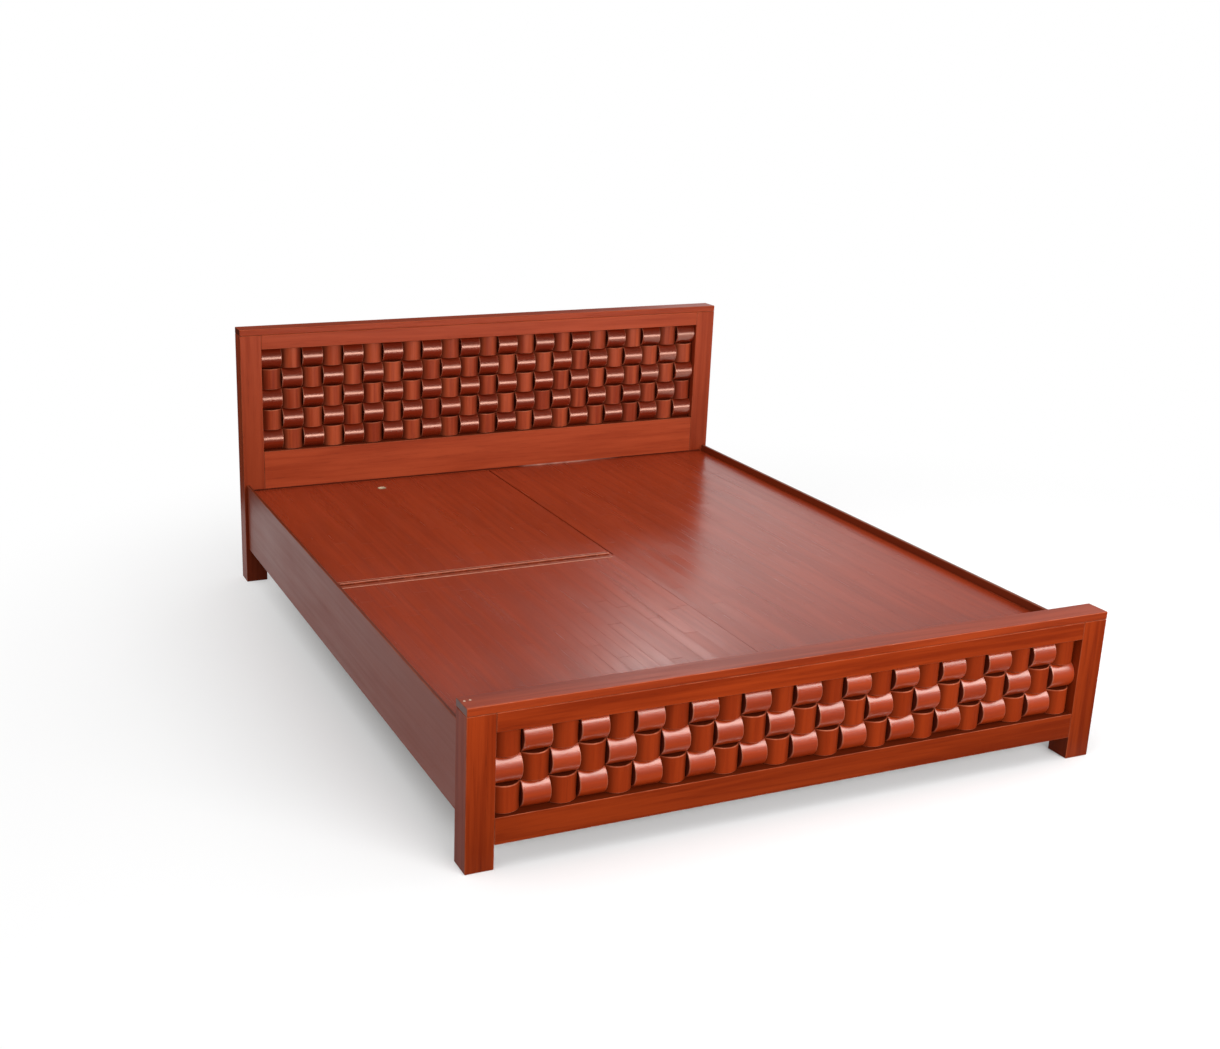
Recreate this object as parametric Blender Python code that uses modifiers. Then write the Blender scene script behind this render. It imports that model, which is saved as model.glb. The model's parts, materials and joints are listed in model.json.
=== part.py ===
"""Storage bed: a box bed with basket-weave ends and a hinged lid over its storage.

X runs across the bed, +Y towards the headboard and +Z up. The origin is on the
floor, under the middle of the bed. All sizes are in metres.
"""

import math

import bmesh
import bpy
from mathutils import Matrix, Vector

# Gap between pieces that touch
CLEARANCE = 0.0003

# How shapes are drawn
EDGE_SEGMENTS = 2
SHARP_ANGLE = math.radians(35)
WELD_DISTANCE = 1e-6
CUTTER_OVERRUN = 2.0

# Basket weave: half-round blocks, set by turns across the row and upright
COLUMNS = 23
HEAD_ROWS = 5
FOOT_ROWS = 3
BLOCK_WIDTH = 0.076
BLOCK_HEIGHT = 0.074
BLOCK_BASE = 0.022
BLOCK_CROWN = 0.022
BLOCK_SEAT = 0.0002
BLOCK_ARC_STEPS = 6

# Headboard and footboard frames
POST_WIDTH = 0.076
FRAME_DEPTH = 0.072
PANEL_THICKNESS = 0.018
TOP_RAIL_HEIGHT = 0.051
CAP_HEIGHT = 0.022
HEAD_WEAVE_BOTTOM = 0.487
HEAD_BOTTOM_RAIL_HEIGHT = 0.187
BOX_BOARD_THICKNESS = 0.018
FOOT_RAIL_BOTTOM = 0.066
FOOT_BOTTOM_RAIL_HEIGHT = 0.073
EASED_EDGE = 0.0015

# Side rails and deck
INNER_LENGTH = 2.134
RAIL_BOTTOM = 0.126
RAIL_HEIGHT = 0.242
RAIL_THICKNESS = 0.030
RAIL_INSET = 0.010
RAIL_LIP = 0.024
LIP_THICKNESS = 0.010
DECK_THICKNESS = 0.018
DECK_GAP = 0.0015
DECK_SEAM = 0.0006
DECK_ARRIS = 0.0005

# Storage box under the deck
CLEAT_WIDTH = 0.025
CLEAT_HEIGHT = 0.025
DIVIDER_THICKNESS = 0.025
BOTTOM_THICKNESS = 0.009
BEARER_WIDTH = 0.060
BEARER_HEIGHT = 0.025
CENTRE_LEG_SIDE = 0.050
BRACKET_LEG = 0.036
BRACKET_HEIGHT = 0.110
BRACKET_THICKNESS = 0.003

# Storage lid
LID_LENGTH = 1.0625
LID_GAP = 0.003
FINGER_HOLE_DIAMETER = 0.028
FINGER_HOLE_SETBACK = 0.107
FINGER_HOLE_SIDES = 24

# Piano hinge along the lid's foot edge
KNUCKLES = 22
KNUCKLE_LENGTH = 0.0408
LEAF_WIDTH = 0.028
LEAF_THICKNESS = 0.0012
LEAF_RELIEF = 0.0006
BARREL_RADIUS = 0.0032
PIN_RADIUS = 0.0014
BARREL_SIDES = 12

# Places that follow from the sizes
OPENING_WIDTH = COLUMNS * BLOCK_WIDTH + 2 * (BLOCK_SEAT + CLEARANCE)
WIDTH = OPENING_WIDTH + 2 * POST_WIDTH
ROW_PITCH = BLOCK_HEIGHT + CLEARANCE
HEAD_FRONT = INNER_LENGTH / 2
FOOT_FRONT = -INNER_LENGTH / 2 - FRAME_DEPTH
FOOT_WEAVE_BOTTOM = FOOT_RAIL_BOTTOM + FOOT_BOTTOM_RAIL_HEIGHT
RAIL_TOP = RAIL_BOTTOM + RAIL_HEIGHT
RAIL_OUTER_X = WIDTH / 2 - RAIL_INSET
RAIL_INNER_X = RAIL_OUTER_X - RAIL_THICKNESS
LIP_INNER_X = RAIL_OUTER_X - LIP_THICKNESS
DECK_TOP = RAIL_TOP - RAIL_LIP
DECK_UNDER = DECK_TOP - DECK_THICKNESS
BOTTOM_UNDER = RAIL_BOTTOM + CLEAT_HEIGHT + CLEARANCE
BOTTOM_TOP = BOTTOM_UNDER + BOTTOM_THICKNESS
BOX_END_Y = INNER_LENGTH / 2 - CLEARANCE
BOX_SIDE_X = RAIL_INNER_X - CLEARANCE
CLEAT_TOP = DECK_UNDER - CLEARANCE
CLEAT_BOTTOM = CLEAT_TOP - CLEAT_HEIGHT
DIVIDER_BOTTOM = BOTTOM_TOP + CLEARANCE
DIVIDER_SIDE_X = DIVIDER_THICKNESS / 2 + CLEARANCE
LID_HEAD_Y = INNER_LENGTH / 2 - LID_GAP
HINGE_Y = LID_HEAD_Y - LID_LENGTH - LID_GAP / 2
LID_LEFT = -LIP_INNER_X + LID_GAP
LID_RIGHT = DECK_SEAM / 2 - LID_GAP
LEAF_UNDER = DECK_TOP + CLEARANCE
HINGE_AXIS = Vector(((LID_LEFT + LID_RIGHT) / 2, HINGE_Y, LEAF_UNDER + BARREL_RADIUS))
HINGE_LENGTH = KNUCKLES * KNUCKLE_LENGTH

# Finishes: linear colour, roughness, metallic
MAHOGANY = ((0.30, 0.055, 0.017), 0.35, 0.0)
MAHOGANY_WEAVE = ((0.28, 0.050, 0.017), 0.30, 0.0)
MAHOGANY_DECK = ((0.27, 0.052, 0.022), 0.28, 0.0)
PLYWOOD = ((0.50, 0.33, 0.18), 0.60, 0.0)
BATTEN = ((0.52, 0.36, 0.20), 0.65, 0.0)
LACQUERED_STEEL = ((0.24, 0.050, 0.024), 0.35, 0.4)
ZINC_STEEL = ((0.55, 0.56, 0.58), 0.40, 1.0)


def clear_scene():
    """Removes whatever the open scene holds."""
    for obj in list(bpy.data.objects):
        bpy.data.objects.remove(obj)


def new_collection(name):
    """A collection of this name in the scene."""
    made = bpy.data.collections.new(name)
    bpy.context.scene.collection.children.link(made)
    return made


def dress(obj, finish):
    """Gives the object a material of its own in this finish."""
    colour, roughness, metallic = finish
    material = bpy.data.materials.new(obj.name)
    material.use_nodes = True
    shader = material.node_tree.nodes["Principled BSDF"]
    shader.inputs["Base Color"].default_value = (*colour, 1.0)
    shader.inputs["Roughness"].default_value = roughness
    shader.inputs["Metallic"].default_value = metallic
    obj.data.materials.clear()
    obj.data.materials.append(material)


def add_object(name, mesh, location, finish=None):
    """An object of this mesh at this place: a part, or a cutter where it has no finish."""
    obj = bpy.data.objects.new(name, mesh)
    obj.location = location
    if finish is None:
        cutters.objects.link(obj)
        obj.hide_render = True
        obj.display_type = "WIRE"
    else:
        parts.objects.link(obj)
        dress(obj, finish)
    return obj


def box_mesh(name, size):
    """A box of this size about its own centre."""
    shape = bmesh.new()
    bmesh.ops.create_cube(shape, size=1.0, matrix=Matrix.Diagonal((*size, 1.0)))
    mesh = bpy.data.meshes.new(name)
    shape.to_mesh(mesh)
    shape.free()
    return mesh


def box_between(name, low, high, finish=None):
    """A box between two opposite corners."""
    low, high = Vector(low), Vector(high)
    return add_object(name, box_mesh(name, high - low), (low + high) / 2, finish)


def board(name, low, high, finish, edge=0.0):
    """A board between two opposite corners, with its edges eased by this much."""
    obj = box_between(name, low, high, finish)
    if edge:
        bevel = obj.modifiers.new("eased_edges", "BEVEL")
        bevel.width = edge
        bevel.segments = EDGE_SEGMENTS
    return obj


def rod_mesh(name, radius, length, sides):
    """A round bar along X about its own centre."""
    shape = bmesh.new()
    along_x = Matrix.Rotation(math.pi / 2, 4, "Y")
    bmesh.ops.create_cone(
        shape,
        cap_ends=True,
        segments=sides,
        radius1=radius,
        radius2=radius,
        depth=length,
        matrix=along_x,
    )
    mesh = bpy.data.meshes.new(name)
    shape.to_mesh(mesh)
    shape.free()
    return mesh


def outline_mesh(name, points, thickness):
    """A flat outline in X and Y, given its thickness along Z about Z = 0."""
    curve = bpy.data.curves.new(name, "CURVE")
    curve.dimensions = "2D"
    curve.fill_mode = "BOTH"
    curve.extrude = thickness / 2
    spline = curve.splines.new("POLY")
    spline.points.add(len(points) - 1)
    for point, (x, y) in zip(spline.points, points):
        point.co = (x, y, 0.0, 1.0)
    spline.use_cyclic_u = True
    drawn = bpy.data.objects.new(name, curve)
    cutters.objects.link(drawn)
    mesh = evaluated_mesh(drawn)
    bpy.data.objects.remove(drawn)
    shape = bmesh.new()
    shape.from_mesh(mesh)
    bmesh.ops.remove_doubles(shape, verts=shape.verts, dist=WELD_DISTANCE)
    shape.to_mesh(mesh)
    shape.free()
    return mesh


def evaluated_mesh(obj):
    """A new mesh of the object with its modifiers applied."""
    bpy.context.view_layer.update()
    graph = bpy.context.evaluated_depsgraph_get()
    return bpy.data.meshes.new_from_object(obj.evaluated_get(graph))


def fused_mesh(placed):
    """One mesh from (mesh, transform) pairs that touch or overlap, by a Boolean union."""
    helpers = new_collection("fused_pieces")
    solids = []
    for mesh, transform in placed:
        solid = bpy.data.objects.new("fused_piece", mesh)
        solid.matrix_world = transform
        helpers.objects.link(solid)
        solids.append(solid)
    first = solids[0]
    helpers.objects.unlink(first)
    cutters.objects.link(first)
    union = first.modifiers.new("union", "BOOLEAN")
    union.operation = "UNION"
    union.operand_type = "COLLECTION"
    union.collection = helpers
    mesh = evaluated_mesh(first)
    mesh.transform(first.matrix_world)
    for solid in solids:
        bpy.data.objects.remove(solid)
    bpy.data.collections.remove(helpers)
    return mesh


def cut(obj, cutter):
    """Cuts the cutter's shape out of the object."""
    difference = obj.modifiers.new("cut_" + cutter.name, "BOOLEAN")
    difference.operation = "DIFFERENCE"
    difference.object = cutter


def shade_round(mesh):
    """Shades the round faces smooth and keeps the corners sharp."""
    mesh.shade_smooth()
    mesh.set_sharp_from_angle(angle=SHARP_ANGLE)


def half_round_outline(chord):
    """The section of a block, its back on Y = 0: straight sides, then an arc over the chord to -Y."""
    radius = (chord * chord / 4 + BLOCK_CROWN * BLOCK_CROWN) / (2 * BLOCK_CROWN)
    half_angle = math.asin(chord / 2 / radius)
    points = [(chord / 2, 0.0), (-chord / 2, 0.0)]
    for step in range(BLOCK_ARC_STEPS + 1):
        angle = half_angle * (2 * step / BLOCK_ARC_STEPS - 1)
        rise = radius * (math.cos(angle) - math.cos(half_angle))
        points.append((radius * math.sin(angle), -BLOCK_BASE - rise))
    return points


def block_meshes():
    """The two blocks of the weave: one laid across, let a little into its neighbours, and one upright."""
    across_length = BLOCK_WIDTH + 2 * BLOCK_SEAT
    across = outline_mesh("across_block", half_round_outline(BLOCK_HEIGHT), across_length)
    upright = outline_mesh("upright_block", half_round_outline(BLOCK_WIDTH), BLOCK_HEIGHT)
    quarter_turn_about_y = Matrix(((0, 0, 1, 0), (0, 1, 0, 0), (-1, 0, 0, 0), (0, 0, 0, 1)))
    across.transform(quarter_turn_about_y)
    return across, upright


def weave_row(name, front_y, bottom, across_first):
    """One row of blocks glued edge to edge, across and upright by turns."""
    across, upright = block_meshes()
    placed = []
    for column in range(COLUMNS):
        x = (column - (COLUMNS - 1) / 2) * BLOCK_WIDTH
        is_across = (column % 2 == 0) == across_first
        placed.append((across if is_across else upright, Matrix.Translation((x, 0, 0))))
    mesh = fused_mesh(placed)
    mesh.name = name
    shade_round(mesh)
    back_y = front_y + FRAME_DEPTH - PANEL_THICKNESS - CLEARANCE
    add_object(name, mesh, (0, back_y, bottom + BLOCK_HEIGHT / 2), MAHOGANY_WEAVE)


def end_frame(name, front_y, weave_bottom, bottom_rail_height, rows, top_left_across):
    """A headboard or footboard: posts, cap, rails, and the weave on its panel.

    front_y is the face that the weave looks out of, and weave_bottom is the
    height of the opening's lower edge. The rows are numbered from the top.
    """
    back_y = front_y + FRAME_DEPTH
    inner_x = OPENING_WIDTH / 2
    rail_x = inner_x - CLEARANCE
    weave_top = weave_bottom + rows * ROW_PITCH + CLEARANCE
    post_top = weave_top + TOP_RAIL_HEIGHT
    cap_bottom = post_top + CLEARANCE

    for side, sign in (("left", -1), ("right", 1)):
        near, far = sorted((sign * inner_x, sign * WIDTH / 2))
        low, high = (near, front_y, 0), (far, back_y, post_top)
        board(f"{name}_{side}_post", low, high, MAHOGANY, EASED_EDGE)

    low = (-WIDTH / 2, front_y, cap_bottom)
    high = (WIDTH / 2, back_y, cap_bottom + CAP_HEIGHT)
    board(f"{name}_cap", low, high, MAHOGANY, EASED_EDGE)

    low, high = (-rail_x, front_y, weave_top), (rail_x, back_y, post_top)
    board(f"{name}_top_rail", low, high, MAHOGANY, EASED_EDGE)

    low = (-rail_x, front_y, weave_bottom - bottom_rail_height)
    high = (rail_x, back_y, weave_bottom)
    board(f"{name}_bottom_rail", low, high, MAHOGANY, EASED_EDGE)

    low = (-rail_x, back_y - PANEL_THICKNESS, weave_bottom + CLEARANCE)
    high = (rail_x, back_y, weave_top - CLEARANCE)
    board(f"{name}_panel", low, high, MAHOGANY)

    for row in range(rows):
        bottom = weave_top - (row + 1) * ROW_PITCH
        across_first = (row % 2 == 0) == top_left_across
        weave_row(f"{name}_weave_row_{row + 1}", front_y, bottom, across_first)


def headboard():
    """The tall end, whose box board closes the storage box below its bottom rail."""
    end_frame("headboard", HEAD_FRONT, HEAD_WEAVE_BOTTOM, HEAD_BOTTOM_RAIL_HEIGHT, HEAD_ROWS, True)
    side_x = OPENING_WIDTH / 2 - CLEARANCE
    top = HEAD_WEAVE_BOTTOM - HEAD_BOTTOM_RAIL_HEIGHT - CLEARANCE
    low = (-side_x, HEAD_FRONT, RAIL_BOTTOM)
    high = (side_x, HEAD_FRONT + BOX_BOARD_THICKNESS, top)
    board("headboard_box_board", low, high, MAHOGANY)


def footboard():
    """The low end, on legs, with the weave facing out."""
    end_frame("footboard", FOOT_FRONT, FOOT_WEAVE_BOTTOM, FOOT_BOTTOM_RAIL_HEIGHT, FOOT_ROWS, False)


def side_rails():
    """The two long boards, rebated for the deck, with a lip above it that keeps the mattress in."""
    for side, sign in (("left", -1), ("right", 1)):
        near, far = sorted((sign * RAIL_INNER_X, sign * RAIL_OUTER_X))
        low, high = (near, -BOX_END_Y, RAIL_BOTTOM), (far, BOX_END_Y, RAIL_TOP)
        rail = board(f"{side}_side_rail", low, high, MAHOGANY, EASED_EDGE)
        near, far = sorted((0, sign * LIP_INNER_X))
        low = (near, -CUTTER_OVERRUN * BOX_END_Y, CLEAT_TOP)
        high = (far, CUTTER_OVERRUN * BOX_END_Y, CUTTER_OVERRUN * RAIL_TOP)
        cut(rail, box_between(f"{side}_deck_rebate", low, high))


def deck():
    """The fixed panels: the right half and the left foot quarter."""
    edge_x = LIP_INNER_X - DECK_GAP
    edge_y = INNER_LENGTH / 2 - DECK_GAP
    low, high = (DECK_SEAM / 2, -edge_y, DECK_UNDER), (edge_x, edge_y, DECK_TOP)
    board("deck_right", low, high, MAHOGANY_DECK, DECK_ARRIS)
    low = (-edge_x, -edge_y, DECK_UNDER)
    high = (-DECK_SEAM / 2, HINGE_Y - LID_GAP / 2, DECK_TOP)
    board("deck_left_foot", low, high, MAHOGANY_DECK, DECK_ARRIS)


def storage_lid(pivot):
    """The lid over the left head quarter, with a finger hole near the headboard."""
    low = Vector((LID_LEFT, HINGE_Y + LID_GAP / 2, DECK_UNDER)) - HINGE_AXIS
    high = Vector((LID_RIGHT, LID_HEAD_Y, DECK_TOP)) - HINGE_AXIS
    lid = board("storage_lid", low, high, MAHOGANY_DECK, DECK_ARRIS)
    lid.parent = pivot
    drill_length = CUTTER_OVERRUN * DECK_THICKNESS
    drill = rod_mesh("finger_hole", FINGER_HOLE_DIAMETER / 2, drill_length, FINGER_HOLE_SIDES)
    drill.transform(Matrix.Rotation(math.pi / 2, 4, "Y"))
    hole_y = INNER_LENGTH / 2 - FINGER_HOLE_SETBACK
    hole_z = DECK_TOP - DECK_THICKNESS / 2
    cut(lid, add_object("finger_hole", drill, (HINGE_AXIS.x, hole_y, hole_z)))


def leaf_mesh(first_knuckle, sign):
    """A hinge leaf about the pin's axis: a plate, and every second knuckle joined to it by a tab.

    The plate lies on the side of the axis that the sign gives.
    """
    knuckle_length = KNUCKLE_LENGTH - CLEARANCE
    plate_near = BARREL_RADIUS + LEAF_RELIEF
    plate_width = LEAF_WIDTH - plate_near
    plate = box_mesh("hinge_plate", (HINGE_LENGTH, plate_width, LEAF_THICKNESS))
    tab_width = plate_near + LEAF_RELIEF
    tab = box_mesh("hinge_tab", (knuckle_length, tab_width, LEAF_THICKNESS))
    barrel = rod_mesh("hinge_barrel", BARREL_RADIUS, knuckle_length, BARREL_SIDES)
    plate_z = LEAF_THICKNESS / 2 - BARREL_RADIUS
    placed = [(plate, Matrix.Translation((0, sign * (plate_near + plate_width / 2), plate_z)))]
    for knuckle in range(first_knuckle, KNUCKLES, 2):
        x = (knuckle - (KNUCKLES - 1) / 2) * KNUCKLE_LENGTH
        placed.append((tab, Matrix.Translation((x, sign * tab_width / 2, plate_z))))
        placed.append((barrel, Matrix.Translation((x, 0, 0))))
    mesh = fused_mesh(placed)
    shade_round(mesh)
    return mesh


def hinge(pivot):
    """The piano hinge: a fixed leaf on the deck, a leaf on the lid, and the pin through both."""
    bore_radius = (PIN_RADIUS + CLEARANCE) / math.cos(math.pi / BARREL_SIDES)
    bore = rod_mesh("pin_bore", bore_radius, CUTTER_OVERRUN * HINGE_LENGTH, BARREL_SIDES)
    bore_cutter = add_object("pin_bore", bore, HINGE_AXIS)
    fixed = add_object("hinge_fixed_leaf", leaf_mesh(0, -1), HINGE_AXIS, LACQUERED_STEEL)
    cut(fixed, bore_cutter)
    moving = add_object("hinge_lid_leaf", leaf_mesh(1, 1), (0, 0, 0), LACQUERED_STEEL)
    moving.parent = pivot
    cut(moving, bore_cutter)
    pin = rod_mesh("hinge_pin", PIN_RADIUS, HINGE_LENGTH, BARREL_SIDES)
    shade_round(pin)
    add_object("hinge_pin", pin, HINGE_AXIS, ZINC_STEEL)


def deck_cleats():
    """Battens round the top of the box, which the deck and the lid rest on."""
    cleat_x = BOX_SIDE_X - CLEAT_WIDTH
    for side, sign in (("left", -1), ("right", 1)):
        near, far = sorted((sign * cleat_x, sign * BOX_SIDE_X))
        low, high = (near, -BOX_END_Y, CLEAT_BOTTOM), (far, BOX_END_Y, CLEAT_TOP)
        board(f"{side}_deck_cleat", low, high, BATTEN)
        near, far = sorted((sign * DIVIDER_SIDE_X, sign * (cleat_x - CLEARANCE)))
        for end, direction in (("head", 1), ("foot", -1)):
            y_near, y_far = sorted((direction * (BOX_END_Y - CLEAT_WIDTH), direction * BOX_END_Y))
            low, high = (near, y_near, CLEAT_BOTTOM), (far, y_far, CLEAT_TOP)
            board(f"{end}_{side}_deck_cleat", low, high, BATTEN)


def dividers():
    """The walls inside the box: one under the deck's middle seam, and two under the hinge line."""
    half = DIVIDER_THICKNESS / 2
    low, high = (-half, -BOX_END_Y, DIVIDER_BOTTOM), (half, BOX_END_Y, CLEAT_TOP)
    board("lengthwise_divider", low, high, PLYWOOD)
    notch_x = BOX_SIDE_X - CLEAT_WIDTH - CLEARANCE
    for side, sign in (("left", -1), ("right", 1)):
        near, far = sorted((sign * DIVIDER_SIDE_X, sign * BOX_SIDE_X))
        low, high = (near, HINGE_Y - half, DIVIDER_BOTTOM), (far, HINGE_Y + half, CLEAT_TOP)
        wall = board(f"{side}_cross_divider", low, high, PLYWOOD)
        near, far = sorted((sign * notch_x, sign * WIDTH / 2))
        low = (near, HINGE_Y - DIVIDER_THICKNESS, CLEAT_BOTTOM - CLEARANCE)
        high = (far, HINGE_Y + DIVIDER_THICKNESS, DECK_TOP)
        cut(wall, box_between(f"{side}_cleat_notch", low, high))


def storage_bottom():
    """The floor of the box: two boards on cleats and a bearer, with a leg under the middle."""
    for side, sign in (("left", -1), ("right", 1)):
        near, far = sorted((sign * CLEARANCE / 2, sign * BOX_SIDE_X))
        low, high = (near, -BOX_END_Y, BOTTOM_UNDER), (far, BOX_END_Y, BOTTOM_TOP)
        board(f"{side}_storage_bottom", low, high, PLYWOOD)
        near, far = sorted((sign * (BOX_SIDE_X - CLEAT_WIDTH), sign * BOX_SIDE_X))
        low = (near, -BOX_END_Y, RAIL_BOTTOM)
        high = (far, BOX_END_Y, BOTTOM_UNDER - CLEARANCE)
        board(f"{side}_bottom_cleat", low, high, BATTEN)
    bearer_top = BOTTOM_UNDER - CLEARANCE
    bearer_bottom = bearer_top - BEARER_HEIGHT
    half = BEARER_WIDTH / 2
    low, high = (-half, -BOX_END_Y, bearer_bottom), (half, BOX_END_Y, bearer_top)
    board("bottom_bearer", low, high, BATTEN)
    half = CENTRE_LEG_SIDE / 2
    low, high = (-half, -half, 0), (half, half, bearer_bottom - CLEARANCE)
    board("centre_leg", low, high, MAHOGANY)


def corner_brackets():
    """Steel angles in the corners of the box, which tie each side rail to its post."""
    leg, wall = BRACKET_LEG, BRACKET_THICKNESS
    outline = [(0, 0), (leg, 0), (leg, wall), (wall, wall), (wall, leg), (0, leg)]
    height = (BOTTOM_TOP + CLEAT_BOTTOM) / 2
    for end, turn_left, turn_right, y in (("foot", 0, 90, -BOX_END_Y), ("head", -90, 180, BOX_END_Y)):
        for side, turn, x in (("left", turn_left, -BOX_SIDE_X), ("right", turn_right, BOX_SIDE_X)):
            name = f"{end}_{side}_bracket"
            mesh = outline_mesh(name, outline, BRACKET_HEIGHT)
            bracket = add_object(name, mesh, (x, y, height), ZINC_STEEL)
            bracket.rotation_euler.z = math.radians(turn)


clear_scene()
parts = new_collection("storage_bed")
cutters = new_collection("cutters")
lid_pivot = bpy.data.objects.new("lid_pivot", None)
lid_pivot.location = HINGE_AXIS
parts.objects.link(lid_pivot)

headboard()
footboard()
side_rails()
deck()
storage_lid(lid_pivot)
hinge(lid_pivot)
deck_cleats()
dividers()
storage_bottom()
corner_brackets()
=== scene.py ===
"""Looks of a storage bed with basket-weave ends and a hinged lid over its storage box.

X runs across the bed, +Y towards the headboard and +Z up, in metres. Every new piece
is a surface worked out as whole arrays and set on the box of the solid it stands for.
"""

import json
import logging
import math
from dataclasses import dataclass, field, replace
from enum import Enum

import bpy
import numpy as np
from mathutils import Matrix, Vector


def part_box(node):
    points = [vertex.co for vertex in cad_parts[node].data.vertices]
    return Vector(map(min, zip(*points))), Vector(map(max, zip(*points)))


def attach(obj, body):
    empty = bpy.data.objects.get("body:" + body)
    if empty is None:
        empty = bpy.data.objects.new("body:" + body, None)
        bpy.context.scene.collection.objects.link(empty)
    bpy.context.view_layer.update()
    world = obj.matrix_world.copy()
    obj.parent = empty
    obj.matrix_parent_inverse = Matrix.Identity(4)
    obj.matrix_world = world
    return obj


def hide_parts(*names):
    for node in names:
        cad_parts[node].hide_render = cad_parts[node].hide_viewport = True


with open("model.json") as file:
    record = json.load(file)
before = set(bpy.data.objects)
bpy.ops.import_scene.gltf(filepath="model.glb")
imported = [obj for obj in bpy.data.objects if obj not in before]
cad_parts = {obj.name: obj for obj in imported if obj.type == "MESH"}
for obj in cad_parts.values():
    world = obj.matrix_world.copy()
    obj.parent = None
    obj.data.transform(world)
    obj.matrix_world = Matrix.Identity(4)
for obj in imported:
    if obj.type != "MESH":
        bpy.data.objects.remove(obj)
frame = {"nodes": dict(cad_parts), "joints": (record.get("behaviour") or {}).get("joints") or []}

log = logging.getLogger("storage_bed")
Array = np.ndarray
Socket = bpy.types.NodeSocket
Material = bpy.types.Material
Span = tuple[float, float]
Place = tuple[float, float, float]
Colour = tuple[float, float, float]

BED = "bed"
LID = "lid"
SEED = 11
LOG_REACH = 20.0
EDGE_STEPS = 4
WELD_DIGITS = 7
SHARP_ANGLE = math.radians(40)
LOOKS_DOWN = -0.4


class Run(Enum):
    """Which way a piece's grain runs, as the order of the axes: along, across, through."""

    ALONG_X = (0, 1, 2)
    ALONG_Y = (1, 0, 2)
    ALONG_Z = (2, 0, 1)


class Slot(Enum):
    """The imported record's material slots that new pieces belong to."""

    FRAME = "mahogany_frame"
    WEAVE = "mahogany_weave"
    DECK = "mahogany_deck"
    HINGE = "lacquered_steel"
    ZINC = "zinc_steel"


class Rays(Enum):
    """What a lamp takes part in."""

    ALL = "all"
    LIGHT = "light"
    GLOSS = "gloss"


@dataclass(frozen=True)
class StainedWood:
    """A stained and lacquered wood: its colours, figure and gloss."""

    early: Colour
    late: Colour
    # The rim colour lies over eased edges: thin stain and painted highlight where pale, painted
    # shade in gaps where dark.
    rim: Colour
    figure: float
    pores: float
    roughness: float
    specular: float
    end_shade: float
    tint: Colour = (1.0, 1.0, 1.0)
    relief: float = 0.0004
    ior: float = 1.5
    figure_height: float = 0.10
    lacquer_height: float = 0.05
    strips: bool = False
    strip_tint: float = 0.35
    strip_joint: float = 0.25
    strip_height: float = 1.1


@dataclass(frozen=True)
class RawWood:
    """A bare wood or plywood: its colours, figure and gloss."""

    early: Colour
    late: Colour
    roughness: float
    figure: float = 0.8
    pores: float = 0.25
    specular: float = 0.25
    gloss_change: float = 0.12
    relief: float = 0.0002


@dataclass(frozen=True)
class Metal:
    """A metal or a lacquer over it: its colours, how metallic it is, and its gloss."""

    colour: Colour
    worn: Colour
    metallic: float
    roughness: float
    specular: float = 0.5
    worn_span: Span = (0.5, 0.72)
    worn_share: float = 0.6
    gloss_change: float = 0.16
    relief: float = 0.00003


@dataclass(frozen=True)
class Texture:
    """A noise: how often it changes in a metre along, across and through, and how ragged it is."""

    per_metre: Place
    detail: float
    distortion: float = 0.0
    roughness: float = 0.55


@dataclass(frozen=True)
class Lamp:
    """A soft rectangular lamp: where it stands and looks, its size, its watts and its rays."""

    name: str
    place: Place
    aim: Place
    size: Span
    power: float
    rays: Rays


FRAME_WOOD = StainedWood(
    early=(0.345, 0.0420, 0.0070),
    late=(0.205, 0.0200, 0.0032),
    rim=(0.48, 0.120, 0.054),
    figure=0.95,
    pores=0.6,
    roughness=0.36,
    specular=0.06,
    end_shade=0.35,
)
# The headboard's copy of the frame's wood, lighter and pinker: painted sheen.
HEAD_WOOD_PAINTED_SHEEN = replace(
    FRAME_WOOD,
    early=(0.400, 0.062, 0.0205),
    late=(0.265, 0.032, 0.0090),
    figure=0.9,
    specular=0.07,
)
CAP_WOOD = replace(FRAME_WOOD, specular=0.24)
RAIL_WOOD = replace(
    FRAME_WOOD,
    early=(0.250, 0.0350, 0.0090),
    late=(0.185, 0.0230, 0.0055),
    rim=(0.40, 0.105, 0.050),
    figure=0.40,
    pores=0.35,
    specular=0.16,
    end_shade=0.55,
)
FOOT_ACROSS_WOOD = StainedWood(
    early=(0.410, 0.0420, 0.0040),
    late=(0.265, 0.0210, 0.0020),
    rim=(0.50, 0.150, 0.080),
    figure=0.7,
    pores=0.45,
    roughness=0.32,
    specular=1.0,
    end_shade=0.22,
    tint=(0.86, 0.88, 0.82),
    relief=0.00018,
    ior=1.8,
)
# The headboard's across blocks: a darker copy of the footboard's, painted shade.
HEAD_ACROSS_WOOD_PAINTED_SHADE = replace(
    FOOT_ACROSS_WOOD,
    early=(0.200, 0.0180, 0.0040),
    late=(0.135, 0.0100, 0.0022),
    roughness=0.27,
    tint=(1.0, 0.62, 0.48),
    relief=0.00008,
)
FOOT_UPRIGHT_WOOD = replace(
    FOOT_ACROSS_WOOD,
    early=(0.305, 0.0355, 0.0064),
    late=(0.205, 0.0200, 0.0036),
    roughness=0.38,
    specular=0.06,
    relief=0.0004,
    ior=1.5,
)
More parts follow.
